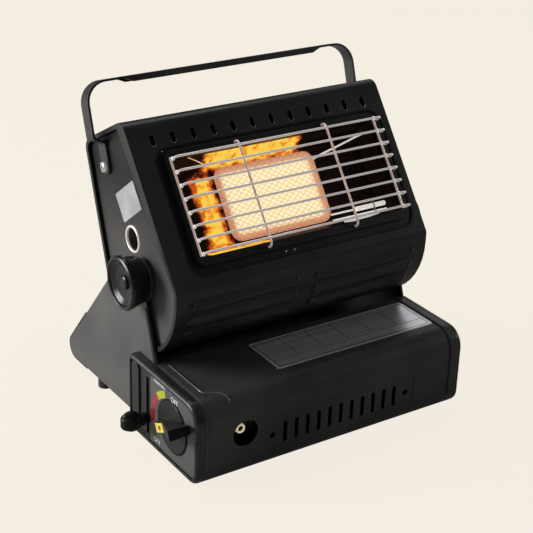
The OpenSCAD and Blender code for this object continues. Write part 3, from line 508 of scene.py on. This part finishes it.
# %% Floor, sky and lamps
CREAM = (0.913, 0.863, 0.768)            # what the camera sees behind the heater
FLOOR_REACH, FLOOR_DROP = 6, 0.0002      # half the floor's size, and how far it lies under the feet


def mix_out(tree, share, first, second, out_kind):
    mix = tree.nodes.new("ShaderNodeMixShader")
    tree.links.new(share, mix.inputs["Fac"])
    tree.links.new(first.outputs[0], mix.inputs[1])
    tree.links.new(second.outputs[0], mix.inputs[2])
    tree.links.new(mix.outputs[0], tree.nodes.new(out_kind).inputs["Surface"])


def pale_surface(name, lit_share):
    material = bpy.data.materials.new(name)
    material.use_nodes = True
    tree = material.node_tree
    tree.nodes.clear()
    lit = node(tree, "ShaderNodeBsdfDiffuse", Color=(0.6, 0.57, 0.52, 1))
    even = node(tree, "ShaderNodeEmission", Color=(*CREAM, 1), Strength=1.06)
    path = tree.nodes.new("ShaderNodeLightPath")
    seen = math_step(tree, "MAXIMUM", path.outputs["Is Camera Ray"], path.outputs["Is Transmission Ray"])
    share = math_step(tree, "MULTIPLY", seen, 1 - lit_share)
    mix_out(tree, share, lit, even, "ShaderNodeOutputMaterial")
    return material


def floor_mesh():
    mesh = bpy.data.meshes.new("studio_floor")
    made = bmesh.new()
    made.faces.new([made.verts.new((x * FLOOR_REACH, y * FLOOR_REACH, -FLOOR_DROP))
                    for x, y in ((-1, -1), (1, -1), (1, 1), (-1, 1))])
    made.to_mesh(mesh)
    made.free()
    floor = bpy.data.objects.new("studio_floor", mesh)
    bpy.context.scene.collection.objects.link(floor)
    return floor


floor = floor_mesh()
floor.data.materials.append(pale_surface("cream_paper", 0.1))


def studio_sky(strength):
    world = bpy.data.worlds.new("studio")
    world.use_nodes = True
    tree = world.node_tree
    tree.nodes.clear()
    seen = node(tree, "ShaderNodeBackground", Color=(*CREAM, 1), Strength=1.0)
    light = node(tree, "ShaderNodeBackground", Color=(0.93, 0.95, 1.0, 1), Strength=strength)
    path = tree.nodes.new("ShaderNodeLightPath")
    mix_out(tree, path.outputs["Is Camera Ray"], light, seen, "ShaderNodeOutputWorld")
    bpy.context.scene.world = world


def soft_lamp(name, place, target, width, height, power, color=(1, 1, 1)):
    data = bpy.data.lights.new(name, "AREA")
    data.shape, data.size, data.size_y = "RECTANGLE", width, height
    data.energy, data.color = power, color
    lamp = bpy.data.objects.new(name, data)
    bpy.context.scene.collection.objects.link(lamp)
    lamp.location = place
    lamp.rotation_euler = (Vector(target) - Vector(place)).to_track_quat("-Z", "Y").to_euler()


studio_sky(0.12)
soft_lamp("key", (-1.65, 1.0, 0.7), (0, 0, 0.12), width=1.0, height=0.9, power=40)
soft_lamp("fill", (1.7, -0.7, 0.8), (0, 0, 0.12), width=0.5, height=0.3, power=6, color=(1.0, 0.98, 0.95))
soft_lamp("top_strip", (0.1, 0.7, 1.5), (0, 0, 0.15), width=1.6, height=0.4, power=7)
soft_lamp("rear_right", (1.3, 1.06, 0.87), (0.05, -0.08, 0.08), width=0.5, height=0.5, power=1.2)
bpy.context.scene.view_settings.view_transform = "Standard"
print("studio ready")

# %% [markdown]
# ## Making thin pieces
# The plates, marks and screws are thin rigid things, so they are built as real meshes with a rounded
# outline, a thickness and softened edges. One builder takes a flat outline and a frame of three
# directions, raises it and bevels the rim. Smaller builders join rings of points into walls, and each
# new piece is then handed to the body it rides on.

# %% Piece builders
def hand_over(name, mesh, body, material):
    piece = bpy.data.objects.new(name, mesh)
    bpy.context.scene.collection.objects.link(piece)
    piece.data.materials.append(material)
    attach(piece, body)
    return piece


def piece_of(name, made, body, material, smooth=False):
    bmesh.ops.recalc_face_normals(made, faces=made.faces)
    for face in made.faces:
        face.smooth = smooth
    mesh = bpy.data.meshes.new(name)
    made.to_mesh(mesh)
    made.free()
    return hand_over(name, mesh, body, material)


def circle(made, centre, aside, other, radius, sides):
    turns = [2 * math.pi * k / sides for k in range(sides)]
    return [made.verts.new(centre + (aside * math.cos(t) + other * math.sin(t)) * radius) for t in turns]


def join_rings(made, rings):
    for one, two in zip(rings, rings[1:]):
        for k in range(len(one)):
            j = (k + 1) % len(one)
            made.faces.new((one[k], one[j], two[j], two[k]))


def closed_rings(made, rings):
    join_rings(made, rings)
    made.faces.new(rings[0][::-1])
    made.faces.new(rings[-1])


def fan(made, ring, tip):
    for k in range(len(ring)):
        made.faces.new((ring[k], ring[(k + 1) % len(ring)], tip))


def rounded_outline(w, h, r, steps=6):
    points = []
    for cx, cy, start in ((w - r, h - r, 0), (r, h - r, 90), (r, r, 180), (w - r, r, 270)):
        for i in range(steps + 1):
            a = math.radians(start + 90 * i / steps)
            points.append((cx + r * math.cos(a), cy + r * math.sin(a)))
    return points


def slab(name, outline, origin, across, upward, thick, body, material, soften=0.0002):
    across, upward = Vector(across).normalized(), Vector(upward).normalized()
    outward = across.cross(upward)
    made = bmesh.new()
    ring = [made.verts.new(origin + across * (x / 1000) + upward * (y / 1000)) for x, y in outline]
    face = made.faces.new(ring)
    lifted = bmesh.ops.extrude_face_region(made, geom=[face])
    top = [v for v in lifted["geom"] if isinstance(v, bmesh.types.BMVert)]
    bmesh.ops.translate(made, verts=top, vec=outward * thick)
    if soften:
        rim = [e for e in made.edges if all(v in top for v in e.verts)]
        bmesh.ops.bevel(made, geom=rim, offset=min(soften, thick * 0.45), segments=2, affect="EDGES")
    return piece_of(name, made, body, material)


print("builders ready")

# %% [markdown]
# ## The plate on the lid
# A thin silver plate is stuck on the lid's top. It is bare, with a pale rim, a fine dark frame and six
# empty fields along it. The plate is one slab, and the lines are printed, so they are very thin slabs
# on top of it.

# %% Lid plate
PLATE = (97.0, 25.0, 173.0, 51.0)        # left, front, length and depth
LID_TOP, PLATE_LIFT, PRINT_LIFT = 80.0, 0.02, 0.34
ink = moulded("dark_print", (0.02, 0.02, 0.022), 0.5, 700, 0.00002)
edge_ink = moulded("pale_border_print", (0.5, 0.5, 0.52), 0.4, 700, 0.00002)
# every line: its place on the plate, its length and its depth
FRAME_LINES = {"front": (3, 3, 167, 0.7), "rear": (3, 47.3, 167, 0.7), "left": (3, 3, 0.7, 45),
               "right": (169.3, 3, 0.7, 45), "middle": (3, 14, 167, 0.5)}
RIM_LINES = {"front": (0.6, 0.6, 171.8, 0.8), "rear": (0.6, 49.6, 171.8, 0.8),
             "left": (0.6, 0.6, 0.8, 49.8), "right": (171.6, 0.6, 0.8, 49.8)}
DIVIDERS = {i: (3 + i * 27.8, 14, 0.5, 34) for i in range(1, 6)}


def plate_bars(kind, lines, print_ink):
    for name, (x, y, w, h) in lines.items():
        origin = at(PLATE[0] + x, PLATE[1] + y, LID_TOP + PRINT_LIFT)
        slab("lid_plate_%s_%s" % (kind, name), rounded_outline(w, h, min(w, h) * 0.45, 3), origin,
             (1, 0, 0), (0, 1, 0), 0.00006, "lid", print_ink, 0)


slab("lid_plate", rounded_outline(PLATE[2], PLATE[3], 2.5), at(PLATE[0], PLATE[1], LID_TOP + PLATE_LIFT),
     (1, 0, 0), (0, 1, 0), 0.00032, "lid", silver_metal, 0.0001)
plate_bars("line", FRAME_LINES, ink)
plate_bars("border", RIM_LINES, edge_ink)
plate_bars("divider", DIVIDERS, ink)
print("plate laid with", len(FRAME_LINES) + len(RIM_LINES) + len(DIVIDERS), "printed lines")

# %% [markdown]
# ## The net over the burner
# A net of thin heatproof wire lies on the plaque and spreads the flame. Its wires cross in flat diamonds
# about seven millimetres wide. Each wire is a real four-sided bar that runs from edge to edge inside the
# burner's rounded outline, and all of them share one mesh.

# %% Burner net
NET_OUT = -15.7                          # the net's place behind the face
CORNER_R = 9.0
LEAST_STEPS = 4                          # a wire that crosses less of a corner is left out


def inside_burner(x, y):
    left, top, w, h = BURNER
    dx = max(abs(x - left - w / 2) - w / 2 + CORNER_R, 0)
    dy = max(abs(y - top - h / 2) - h / 2 + CORNER_R, 0)
    return math.hypot(dx, dy) <= CORNER_R


def net_bar(made, start, end, half):
    a, b = (on_face(x, y, NET_OUT) for x, y in (start, end))
    aside = (b - a).normalized().cross(OUT_FACE) * half
    lift = OUT_FACE * half
    closed_rings(made, [[made.verts.new(p + q) for q in (aside, lift, -aside, -lift)] for p in (a, b)])


def wire_net(pitch_x, pitch_y, half, step=0.5):
    made = bmesh.new()
    left, top, w, h = BURNER
    run = h * pitch_x / pitch_y          # how far across a wire goes on its way down the burner
    count = 0
    for slope, y0 in ((1, top), (-1, top + h)):
        rise = step * slope * pitch_y / pitch_x
        for i in range(int((w + 2 * run) / pitch_x) + 1):
            x0 = left - run + i * pitch_x
            steps = [(x0 + k * step, y0 + k * rise) for k in range(int(2 * run) + 1)]
            kept = [p for p in steps if inside_burner(*p)]
            if len(kept) > LEAST_STEPS:
                net_bar(made, kept[0], kept[-1], half / 1000)
                count += 1
    piece_of("burner_net", made, "head", net_glow)
    return count


print("net wires:", wire_net(pitch_x=7.2, pitch_y=5.2, half=0.4))

# %% [markdown]
# ## The spark wire
# A white insulated wire runs from the pan's upper right corner down to the burner's edge, where it
# brings the igniter its spark. It is a bent tube: a few rings of points swept along a polyline.

# %% Spark wire
SKEW = Vector((0.21, 0.9, 0.37))         # no tube runs along this, so it gives each one a way aside


def tube(name, points, radius, body, material, sides=8):
    made = bmesh.new()
    rings = []
    for i, p in enumerate(points):
        along = (points[min(i + 1, len(points) - 1)] - points[max(i - 1, 0)]).normalized()
        aside = along.cross(SKEW).normalized()
        rings.append(circle(made, p, aside, along.cross(aside), radius, sides))
    closed_rings(made, rings)
    return piece_of(name, made, body, material, smooth=True)


lead_line = [(194.5, 62.0, -15.0), (202, 60.2, -9.5), (222, 56, -8.4), (243, 51.2, -8), (252, 49.6, -7.6)]
# the wire wears the ceramic's white with its painted light
tube("spark_wire", [on_face(*p) for p in lead_line], 0.00085, "head", lit_ceramic)
print("spark wire through", len(lead_line), "points")

# %% [markdown]
# ## A painted highlight on the pan's crease
# The pan is folded at its corners. The fold at the upper left lies nearest to the burner, and its edge shows
# as a thin bright line that runs from the window's corner to the burner. The line is a painted highlight: a
# fine tube that emits.

# %% Painted crease highlight
crease_highlight, edge_tree, edge_shader = finish("painted_crease_highlight", (0.05, 0.03, 0.02), 0.5)
highlight_colors = ramp_of(edge_tree, grain(edge_tree, 160, 2),
                    [(0.3, (0.75, 0.28, 0.08)), (0.7, (0.95, 0.75, 0.45))])
edge_tree.links.new(highlight_colors, edge_shader.inputs["Emission Color"])
adjust(crease_highlight, Emission_Strength=0.9)
crease = [(61.7, 40, -3), (72.5, 44.5, -7), (85.5, 50.1, -13)]
tube("pan_crease_highlight", [on_face(*p) for p in crease], 0.0005, "head", crease_highlight, sides=6)
print("crease with", len(crease), "points")

# %% [markdown]
# ## The igniter's sleeves
# White ceramic sleeves lie along the window's lower edge, where the igniter's rods pass. They are short
# tubes, laid a little unevenly, as ceramic beads on a wire are.

# %% Igniter sleeves
# each sleeve: its two ends on the face, and its radius
SLEEVES = [((200.2, 125.6, -7.0), (214.5, 126.4, -7.0), 0.0017),
           ((212.5, 126.6, -6.4), (238, 125.4, -6.4), 0.0013),
           ((206, 123.4, -7.5), (226, 123.6, -7.5), 0.0011)]
SAG = (0, 0.4, 0)
for i, (start, end, radius) in enumerate(SLEEVES):
    middle = tuple((a + b) / 2 + sag for a, b, sag in zip(start, end, SAG))
    line = [on_face(*p) for p in (start, middle, end)]
    # the sleeves wear the ceramic's painted light
    tube("igniter_sleeve_%d" % (i + 1), line, radius, "head", lit_ceramic, sides=12)
print("igniter sleeves:", len(SLEEVES))

# %% [markdown]
# ## Small rivets
# Three tiny rivets hold the window tray, one at its upper left corner and two under the frame. A rivet's
# head is a low dome, so it is turned from a short profile into a real mesh.

# %% Rivets
def dome(name, centre, outward, radius, height, body, material, rings=4, sides=16):
    outward = Vector(outward).normalized()
    aside = outward.orthogonal().normalized()
    made = bmesh.new()
    slopes = [math.pi / 2 * i / (rings + 1) for i in range(rings + 1)]
    rows = [circle(made, centre + outward * height * math.sin(a), aside, outward.cross(aside),
                   radius * math.cos(a), sides) for a in slopes]
    tip = made.verts.new(centre + outward * height)
    join_rings(made, rows)
    fan(made, rows[-1], tip)
    made.faces.new(rows[0][::-1])
    return piece_of(name, made, body, material, smooth=True)


RIVETS = {"corner": (40.2, 31.6), "under_1": (126.9, 141), "under_2": (136, 141)}
for name, (x, v) in RIVETS.items():
    dome("rivet_" + name, on_face(x, v, -1.3), OUT_FACE, 0.0011, 0.0006, "head", zinc_metal)
print("rivets:", len(RIVETS))

# %% [markdown]
# ## Weld spots and vent lips
# Each guard wire is spot welded to the two outer uprights, and the weld swells into a bead whose
# brightness is a painted glint. The vents above the window are punched, which leaves a fine rolled lip
# round their lower end, with a painted highlight in its pale coat. A dark baffle behind them stands for an
# inner heat shield; it keeps the pan's painted reflection from showing through and leaves the vents black
# as shade.

# %% Weld spots, vent lips, baffle
BARS_V, BAR_PITCH, BAR_COUNT = 41.5, 12.3, 8
WELD_PLACES = {"left": (45.0, 4.4), "right": (255.9, 8.9)}       # across the face, and out of it
VENT_COUNT, VENT_PITCH, VENT_V, VENT_R = 12, 20.2, 24.8, 2.3
HEAD_MIDDLE = 145
for side, (x, out) in WELD_PLACES.items():
    for i in range(BAR_COUNT):
        dome("weld_%s_%d" % (side, i + 1), on_face(x, BARS_V + i * BAR_PITCH, out), OUT_FACE, 0.0019,
             0.0022, "head", weld_metal, rings=3, sides=12)
half_round = [math.pi * k / 10 for k in range(11)]
for i in range(VENT_COUNT):
    x = HEAD_MIDDLE + (i - (VENT_COUNT - 1) / 2) * VENT_PITCH
    arc = [on_face(x + VENT_R * math.cos(t), VENT_V + VENT_R * math.sin(t), 0.1) for t in half_round]
    # painted highlight: the lip's pale coat
    tube("vent_lip_%d" % (i + 1), arc, 0.0003, "head", lip_coat_highlighted, sides=6)
# painted shade: a dark sheet behind the vents, also standing for an inner heat shield
slab("vent_baffle", rounded_outline(254, 17, 2), on_face(18, 30, -3.6), ACROSS, UP_FACE, 0.0005, "head",
     tray_coat)
print("welds:", len(WELD_PLACES) * BAR_COUNT, "vent lips:", VENT_COUNT)

# %% [markdown]
# ## The handle's screws
# The handle hangs on two pan head screws with a cross recess. The CAD model has plain discs, so each
# gets a domed head with the cross cut into it: two crossed slots are taken out of the dome.

# %% Cross recess screws
SCREW_Y, SCREW_Z = 181.9, 230.9
SLOT_SIZE, SLOT_TURN, SLOT_OUT = (0.0032, 0.0011, 0.0048, 1), 0.5, 0.0022
SINK = 0.6                               # how far the head is let into the plain disc


def screw_head(name, x, side):
    outward = Vector((side, 0, 0))
    head = dome(name, at(x, SCREW_Y, SCREW_Z), outward, 0.0044, 0.0017, "head", zinc_metal,
                rings=6, sides=32)
    cutters = []
    for turn in (SLOT_TURN, SLOT_TURN + math.pi / 2):
        made = bmesh.new()
        bmesh.ops.create_cube(made, size=1)
        place = Matrix.Translation(at(x, SCREW_Y, SCREW_Z) + outward * SLOT_OUT)
        slot = place @ Matrix.Rotation(turn, 4, "X") @ Matrix.Diagonal(SLOT_SIZE)
        bmesh.ops.transform(made, matrix=slot, verts=made.verts)
        mesh = bpy.data.meshes.new(name + "_cut")
        made.to_mesh(mesh)
        made.free()
        cutters.append(bpy.data.objects.new(name + "_cut", mesh))
        bpy.context.scene.collection.objects.link(cutters[-1])
        cut = head.modifiers.new("cross", "BOOLEAN")
        cut.operation, cut.object, cut.solver = "DIFFERENCE", cutters[-1], "EXACT"
    bpy.context.view_layer.update()
    graph = bpy.context.evaluated_depsgraph_get()
    ready = bpy.data.meshes.new_from_object(head.evaluated_get(graph))
    head.modifiers.clear()
    head.data = ready
    for cutter in cutters:
        bpy.data.objects.remove(cutter)


screw_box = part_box("handle_screws")
print("handle screws span", [round(v, 4) for v in (screw_box[0][0], screw_box[1][0])])
for name, end, side in (("left", screw_box[0][0], -1), ("right", screw_box[1][0], 1)):
    screw_head("screw_head_" + name, end * 1000 + HALF_W - side * SINK, side)

# %% [markdown]
# ## The bare sticker
# A white rectangular sticker sits on the head's left side, square to the face. It is paper under a film,
# slightly greyed, and it carries nothing.

# %% Sticker
sticker_white = moulded("sticker_white", (0.37, 0.37, 0.375), 0.35, 40, 0.00001)
along_side = Vector((0, -math.cos(FACE_TILT), math.sin(FACE_TILT)))
STICKER = (39.6, 26.5)
middle = at(14.98, 143.9, 210.9)
corner = middle - (along_side * STICKER[0] + UP_FACE * STICKER[1]) / 2000
slab("side_sticker", rounded_outline(*STICKER, 1.2), corner, along_side, UP_FACE, 0.00014, "head",
     sticker_white, 0.00003)
print("sticker on the left side")

# %% [markdown]
# ## Print on the control panel
# The panel round the dial has an arc that runs from yellow green to red, and a few small words. The arc
# is three thin ring sectors, and the words are real letter shapes made from the built-in font and turned
# into meshes.

# %% Control panel print
DIAL_Y, DIAL_Z, PANEL_X = 44.0, 41.0, 1.6
TO_FRONT, UPWARD = Vector((0, -1, 0)), Vector((0, 0, 1))
ARC_INNER, ARC_OUTER, ARC_STEPS = 26.4, 33.2, 14


def sector(start, end):
    turns = [math.radians(start + (end - start) * i / ARC_STEPS) for i in range(ARC_STEPS + 1)]
    outer_row = [(-ARC_OUTER * math.cos(a), ARC_OUTER * math.sin(a)) for a in turns]
    return outer_row[::-1] + [(-ARC_INNER * math.cos(a), ARC_INNER * math.sin(a)) for a in turns]


def print_ink(name, color):
    return moulded(name, color, 0.42, 600, 0.00001)


arc_middle = at(PANEL_X - 0.03, 48.5, 37.8)
# each sector: its two ends in degrees, and its ink
SECTORS = {"start": (45, 74, (0.42, 0.45, 0.03)), "warm": (10, 45, (0.3, 0.035, 0.05)),
           "hot": (-14, 10, (0.19, 0.005, 0.01))}
for name, (start, end, color) in SECTORS.items():
    slab("dial_arc_" + name, sector(start, end), arc_middle, TO_FRONT, UPWARD, 0.00004, "base",
         print_ink("ink_" + name, color), 0)


def word(text, y, z, size):
    curve = bpy.data.curves.new("word_" + text, "FONT")
    curve.body, curve.size, curve.align_x, curve.align_y = text, size / 1000, "CENTER", "CENTER"
    curve.extrude = 0.00003
    letters = bpy.data.objects.new("word_" + text, curve)
    bpy.context.scene.collection.objects.link(letters)
    turned = Matrix((TO_FRONT, UPWARD, TO_FRONT.cross(UPWARD))).transposed().to_4x4()
    letters.matrix_world = Matrix.Translation(at(PANEL_X - 0.05, y, z)) @ turned
    bpy.context.view_layer.update()
    graph = bpy.context.evaluated_depsgraph_get()
    mesh = bpy.data.meshes.new_from_object(letters.evaluated_get(graph))
    mesh.transform(letters.matrix_world)
    bpy.data.objects.remove(letters)
    return hand_over("word_" + text.lower(), mesh, "base", white_ink)


white_ink = print_ink("ink_white", (0.85, 0.85, 0.84))
# each word: its middle's Y and Z, and its size
WORDS = [("OFF", 41, 67.5, 7.0), ("IGNITION", 66.5, 72.0, 4.4), ("ON", 71, 13.5, 7.0)]
for text, y, z, size in WORDS:
    word(text, y, z, size)
print("words printed:", [text for text, *rest in WORDS])

# %% [markdown]
# ## The dial and its grip
# The dial is a flat disc with a wedge shaped grip across it. The grip's tall end reaches past the disc
# towards the front, its back slopes down across the middle, and its low, flat end is the pointer. The
# wedge needs several slanted faces, so it is built anew from its side profile, thinner at the tall end,
# and stands for the plain CAD knob. The grip's end and its two sides take a darker plastic than its top and
# the disc: painted shade. The disc is turned from a profile, and a black ring paints the shade in the gap
# round it.

# %% Dial and grip
# painted shade: a black finish for the dial's gap, the nozzle's bore and the louvres' mouths
black_painted_shade = moulded("painted_shade_black", (0.0015, 0.0015, 0.0016), 0.8, 300, 0.00005)
ALONG = Vector((0, -0.9, 0.437)).normalized()          # from the pointer to the tall end
ASIDE = Vector((0, 0.437, 0.9)).normalized()
# side profile: X, place along the grip, and half the thickness there
WEDGE = [(0.5, -26.0, 5.6), (-1.8, -25.6, 5.3), (-2.3, -10.5, 5.8), (-21.6, 36.6, 5.1), (-22.0, 38.2, 4.7),
         (-21.4, 39.0, 4.6), (-1.4, 38.4, 3.9), (-1.0, 24.0, 5.4), (0.5, 23.4, 5.6)]
DISC = [(2.1, 23.75), (0.8, 23.75), (0.5, 23.4)]       # side profile: X and radius


def on_dial(x, along, aside):
    return at(x, DIAL_Y, DIAL_Z) + (ALONG * along + ASIDE * aside) / 1000


def dial_circle(made, x, radius, steps):
    return circle(made, at(x, DIAL_Y, DIAL_Z), -TO_FRONT, UPWARD, radius / 1000, steps)


def dial_ring(name, inner, outer, x, thick):
    made = bmesh.new()
    profile = [(x, inner), (x - thick, inner), (x - thick, outer), (x, outer)]
    rows = [dial_circle(made, place, radius, 64) for place, radius in profile]
    join_rings(made, rows + rows[:1])
    piece_of(name, made, "base", black_painted_shade)


def dial_knob():
    made = bmesh.new()
    sides = [[made.verts.new(on_dial(x, u, side * half)) for x, u, half in WEDGE] for side in (1, -1)]
    closed_rings(made, sides)
    bmesh.ops.recalc_face_normals(made, faces=made.faces)
    bmesh.ops.bevel(made, geom=list(made.edges), offset=0.0004, segments=2, affect="EDGES",
                    clamp_overlap=True)
    closed_rings(made, [dial_circle(made, x, radius, 72) for x, radius in DISC])
    knob = piece_of("dial_knob", made, "valve_control", dial_plastic_lit)
    knob.data.materials.append(knob_plastic)
    # painted shade: faces towards the tall end or to the sides take the darker plastic
    for face in knob.data.polygons:
        dark = face.normal.dot(ALONG) > 0.5 or abs(face.normal.dot(ASIDE)) > 0.5
        face.material_index = 1 if dark else 0
    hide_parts("valve_knob")


dial_plastic_lit = moulded("black_dial_plastic_painted_light", (0.011, 0.011, 0.0112), 0.42, 1300, 0.00008)
dial_knob()
# painted shade: a black ring in the gap round the dial
dial_ring("dial_gap", 23.9, 25.6, x=1.58, thick=0.05)
print("grip is", round(WEDGE[4][1] - WEDGE[0][1], 1), "mm long")

# %% [markdown]
# ## The pointer's field
# The low, flat end of the grip is printed with a yellow field and a red spot, so that the setting can be
# read from above. They are two thin prints that turn with the dial.

# %% Pointer
yellow_ink = print_ink("ink_yellow", (0.8, 0.62, 0.1))
red_ink = print_ink("ink_red", (0.42, 0.05, 0.008))
slab("pointer_field", rounded_outline(13.6, 8.6, 0.8), on_dial(-2.36, -10.9, -4.3), -ALONG, ASIDE, 0.00006,
     "valve_control", yellow_ink, 0)
slab("pointer_spot", rounded_outline(4.4, 3.6, 1.0), on_dial(-2.44, -15.4, -1.8), -ALONG, ASIDE, 0.00005,
     "valve_control", red_ink, 0)
print("pointer printed")

# %% [markdown]
# ## The lever's thumb pad
# The lever that locks the cartridge ends in a round pad that a thumb pushes down. Its crowned face is
# turned from a soft profile, and it sits round the lever's plain end.

# %% Thumb pad
def button(name, centre, axis, radius, half, body, material, sides=40, rows_count=12):
    axis = Vector(axis).normalized()
    aside = axis.orthogonal().normalized()
    made = bmesh.new()
    rows = []
    for i in range(1, rows_count):
        a = math.pi * i / rows_count - math.pi / 2
        lift = math.copysign(abs(math.sin(a)) ** 0.8, a) * half
        rows.append(circle(made, centre + axis * lift, aside, axis.cross(aside),
                           radius * math.cos(a) ** 0.42, sides))
    tips = [made.verts.new(centre - axis * half), made.verts.new(centre + axis * half)]
    join_rings(made, rows)
    fan(made, rows[0], tips[0])
    fan(made, rows[-1], tips[1])
    return piece_of(name, made, body, material, smooth=True)


button("lever_pad", at(-14.0, 88.6, 28.6), (-0.35, -1, 0.15), 0.0096, 0.0042, "cartridge_lever",
       knob_plastic)
print("thumb pad on the lever")

# %% [markdown]
# ## The nozzle's mouth
# The gas outlet ends in rounded brass lips round a dark bore. A lip is a small ring swept along a circle,
# and three of them stand on the nozzle's tip; their brass emits a little, a painted highlight that keeps
# them bright all round. A black disc down the bore paints its shade.

# %% Nozzle mouth
NOZZLE_X, NOZZLE_Z, LIP_R = 48, 44, 3.6
whole_turn = [2 * math.pi * k / 24 for k in range(25)]
brass_lip_lit = bare_metal("brass_lip_painted_light", (0.98, 0.88, 0.6), 0.2, 300, TURNED_STREAK)
# painted highlight: the outer lip's brass emits
adjust(brass_lip_lit, Emission_Color=(1.0, 0.9, 0.62, 1), Emission_Strength=0.45)
for i, (y, metal) in enumerate(((10.7, brass_metal), (9.6, brass_metal), (8.5, brass_lip_lit))):
    lip = [at(NOZZLE_X + LIP_R * math.cos(t), y, NOZZLE_Z + LIP_R * math.sin(t)) for t in whole_turn]
    tube("nozzle_lip_%d" % (i + 1), lip, 0.0008, "base", metal)
dome("nozzle_bore", at(NOZZLE_X, 9.4, NOZZLE_Z), (0, -1, 0), 0.003, 0.0002, "base", black_painted_shade)
print("nozzle mouth turned")

# %% [markdown]
# ## The louvres' mouths
# Six louvres are pressed out of the head's round front. Each is a hood over a slit that opens downwards,
# so its mouth reads as a black line under the hood's lip; a black strip there paints that shade. The
# pressing fades out at both ends, where the sheet was stretched, not cut: a small sloping end is added
# there.

# %% Louvre mouths and ends
CHIN_Y, CHIN_Z, CHIN_R = 127.0, 150.7, 72.0
# the hood's side profile: its place off the round sheet, outwards being minus, and upwards
HOOD = [(1, -0.6), (-2.6, -0.6), (-2.9, 0.4), (-2.4, 3), (-0.6, 8), (0.8, 9)]
LOUVRE_TURNS, LOUVRE_STARTS, LOUVRE_L = (8.2, 20.4, 32.6), {"left": 31.0, "right": 159.0}, 100
END_REACH, END_LAP = 7, 0.3              # how far a sloping end reaches, and how far it laps the hood


def on_chin(x, turn, out, rise):
    c, s = math.cos(math.radians(turn)), math.sin(math.radians(turn))
    return at(x, CHIN_Y + (out - CHIN_R) * c - rise * s, CHIN_Z + (out - CHIN_R) * s + rise * c)


def hood_end(name, x, reach, turn):
    made = bmesh.new()
    big = [made.verts.new(on_chin(x, turn, out, rise)) for out, rise in HOOD]
    small = [made.verts.new(on_chin(x + reach, turn, max(out, -0.1) if out < 0 else out, rise * 0.6 + 1.5))
             for out, rise in HOOD]
    closed_rings(made, [big, small])
    piece_of(name, made, "head", coat, smooth=True)


for row, turn in enumerate(LOUVRE_TURNS):
    for side, x in LOUVRE_STARTS.items():
        name = "louvre_%s_%d_" % (side, row + 1)
        hood_end(name + "start", x + END_LAP, -END_REACH, turn)
        hood_end(name + "end", x + LOUVRE_L - END_LAP, END_REACH, turn)
        # painted shade: a black strip in each louvre's mouth
        low, high = on_chin(x + 1, turn, -2.95, -0.9), on_chin(x + 1, turn, -3.05, 0.5)
        slab(name + "mouth", rounded_outline(LOUVRE_L - 2, 1.4, 0.5), low, ACROSS, high - low, 0.0002,
             "head", black_painted_shade, 0)
print("louvres finished:", len(LOUVRE_TURNS) * len(LOUVRE_STARTS))

# %% [markdown]
# ## Hems and a pressed edge
# The side plates' front edges are folded back on themselves into a narrow hem, and the lid's left end is
# pressed into a step that jogs in before it runs down the front. The hems are thin strips on the plates'
# outer faces, in a darker coat than the plates: painted shade. The step's rounded lip is a fine bead swept
# along its line, which catches the light; its pale coat adds a painted highlight.

# %% Hems and bead
HEM_LINE = [(101.1, 128.0), (84.3, 80.6), (88.8, 80.6), (105.2, 126.6)]          # Y and Z
for name, x, side in (("left", 9.0, -1), ("right", 281.0, 1)):
    strip = [(side * y, z) for y, z in HEM_LINE]
    # painted shade: the hem's darker coat
    slab("stand_hem_" + name, strip[::side], at(x, 0, 0), (0, side, 0), (0, 0, 1), 0.0009, "base",
         hem_coat_shaded, 0.0003)

bead_line = [(17.7, 78, 80.7), (17.7, 27, 80.7), (18.0, 24, 80.7), (19.2, 21.6, 80.6), (21.4, 20.2, 80.4),
             (24.5, 19.4, 80.1), (28.5, 18.2, 80.0), (32, 16, 79.8), (34.3, 12.6, 79.0), (35.2, 9, 77.1),
             (35.0, 6, 74.4)]
# painted highlight: the bead's pale coat
tube("lid_step_lip", [at(*p) for p in bead_line], 0.0006, "lid", lip_coat_highlighted)
print("hems: 2, points on the step's lip:", len(bead_line))
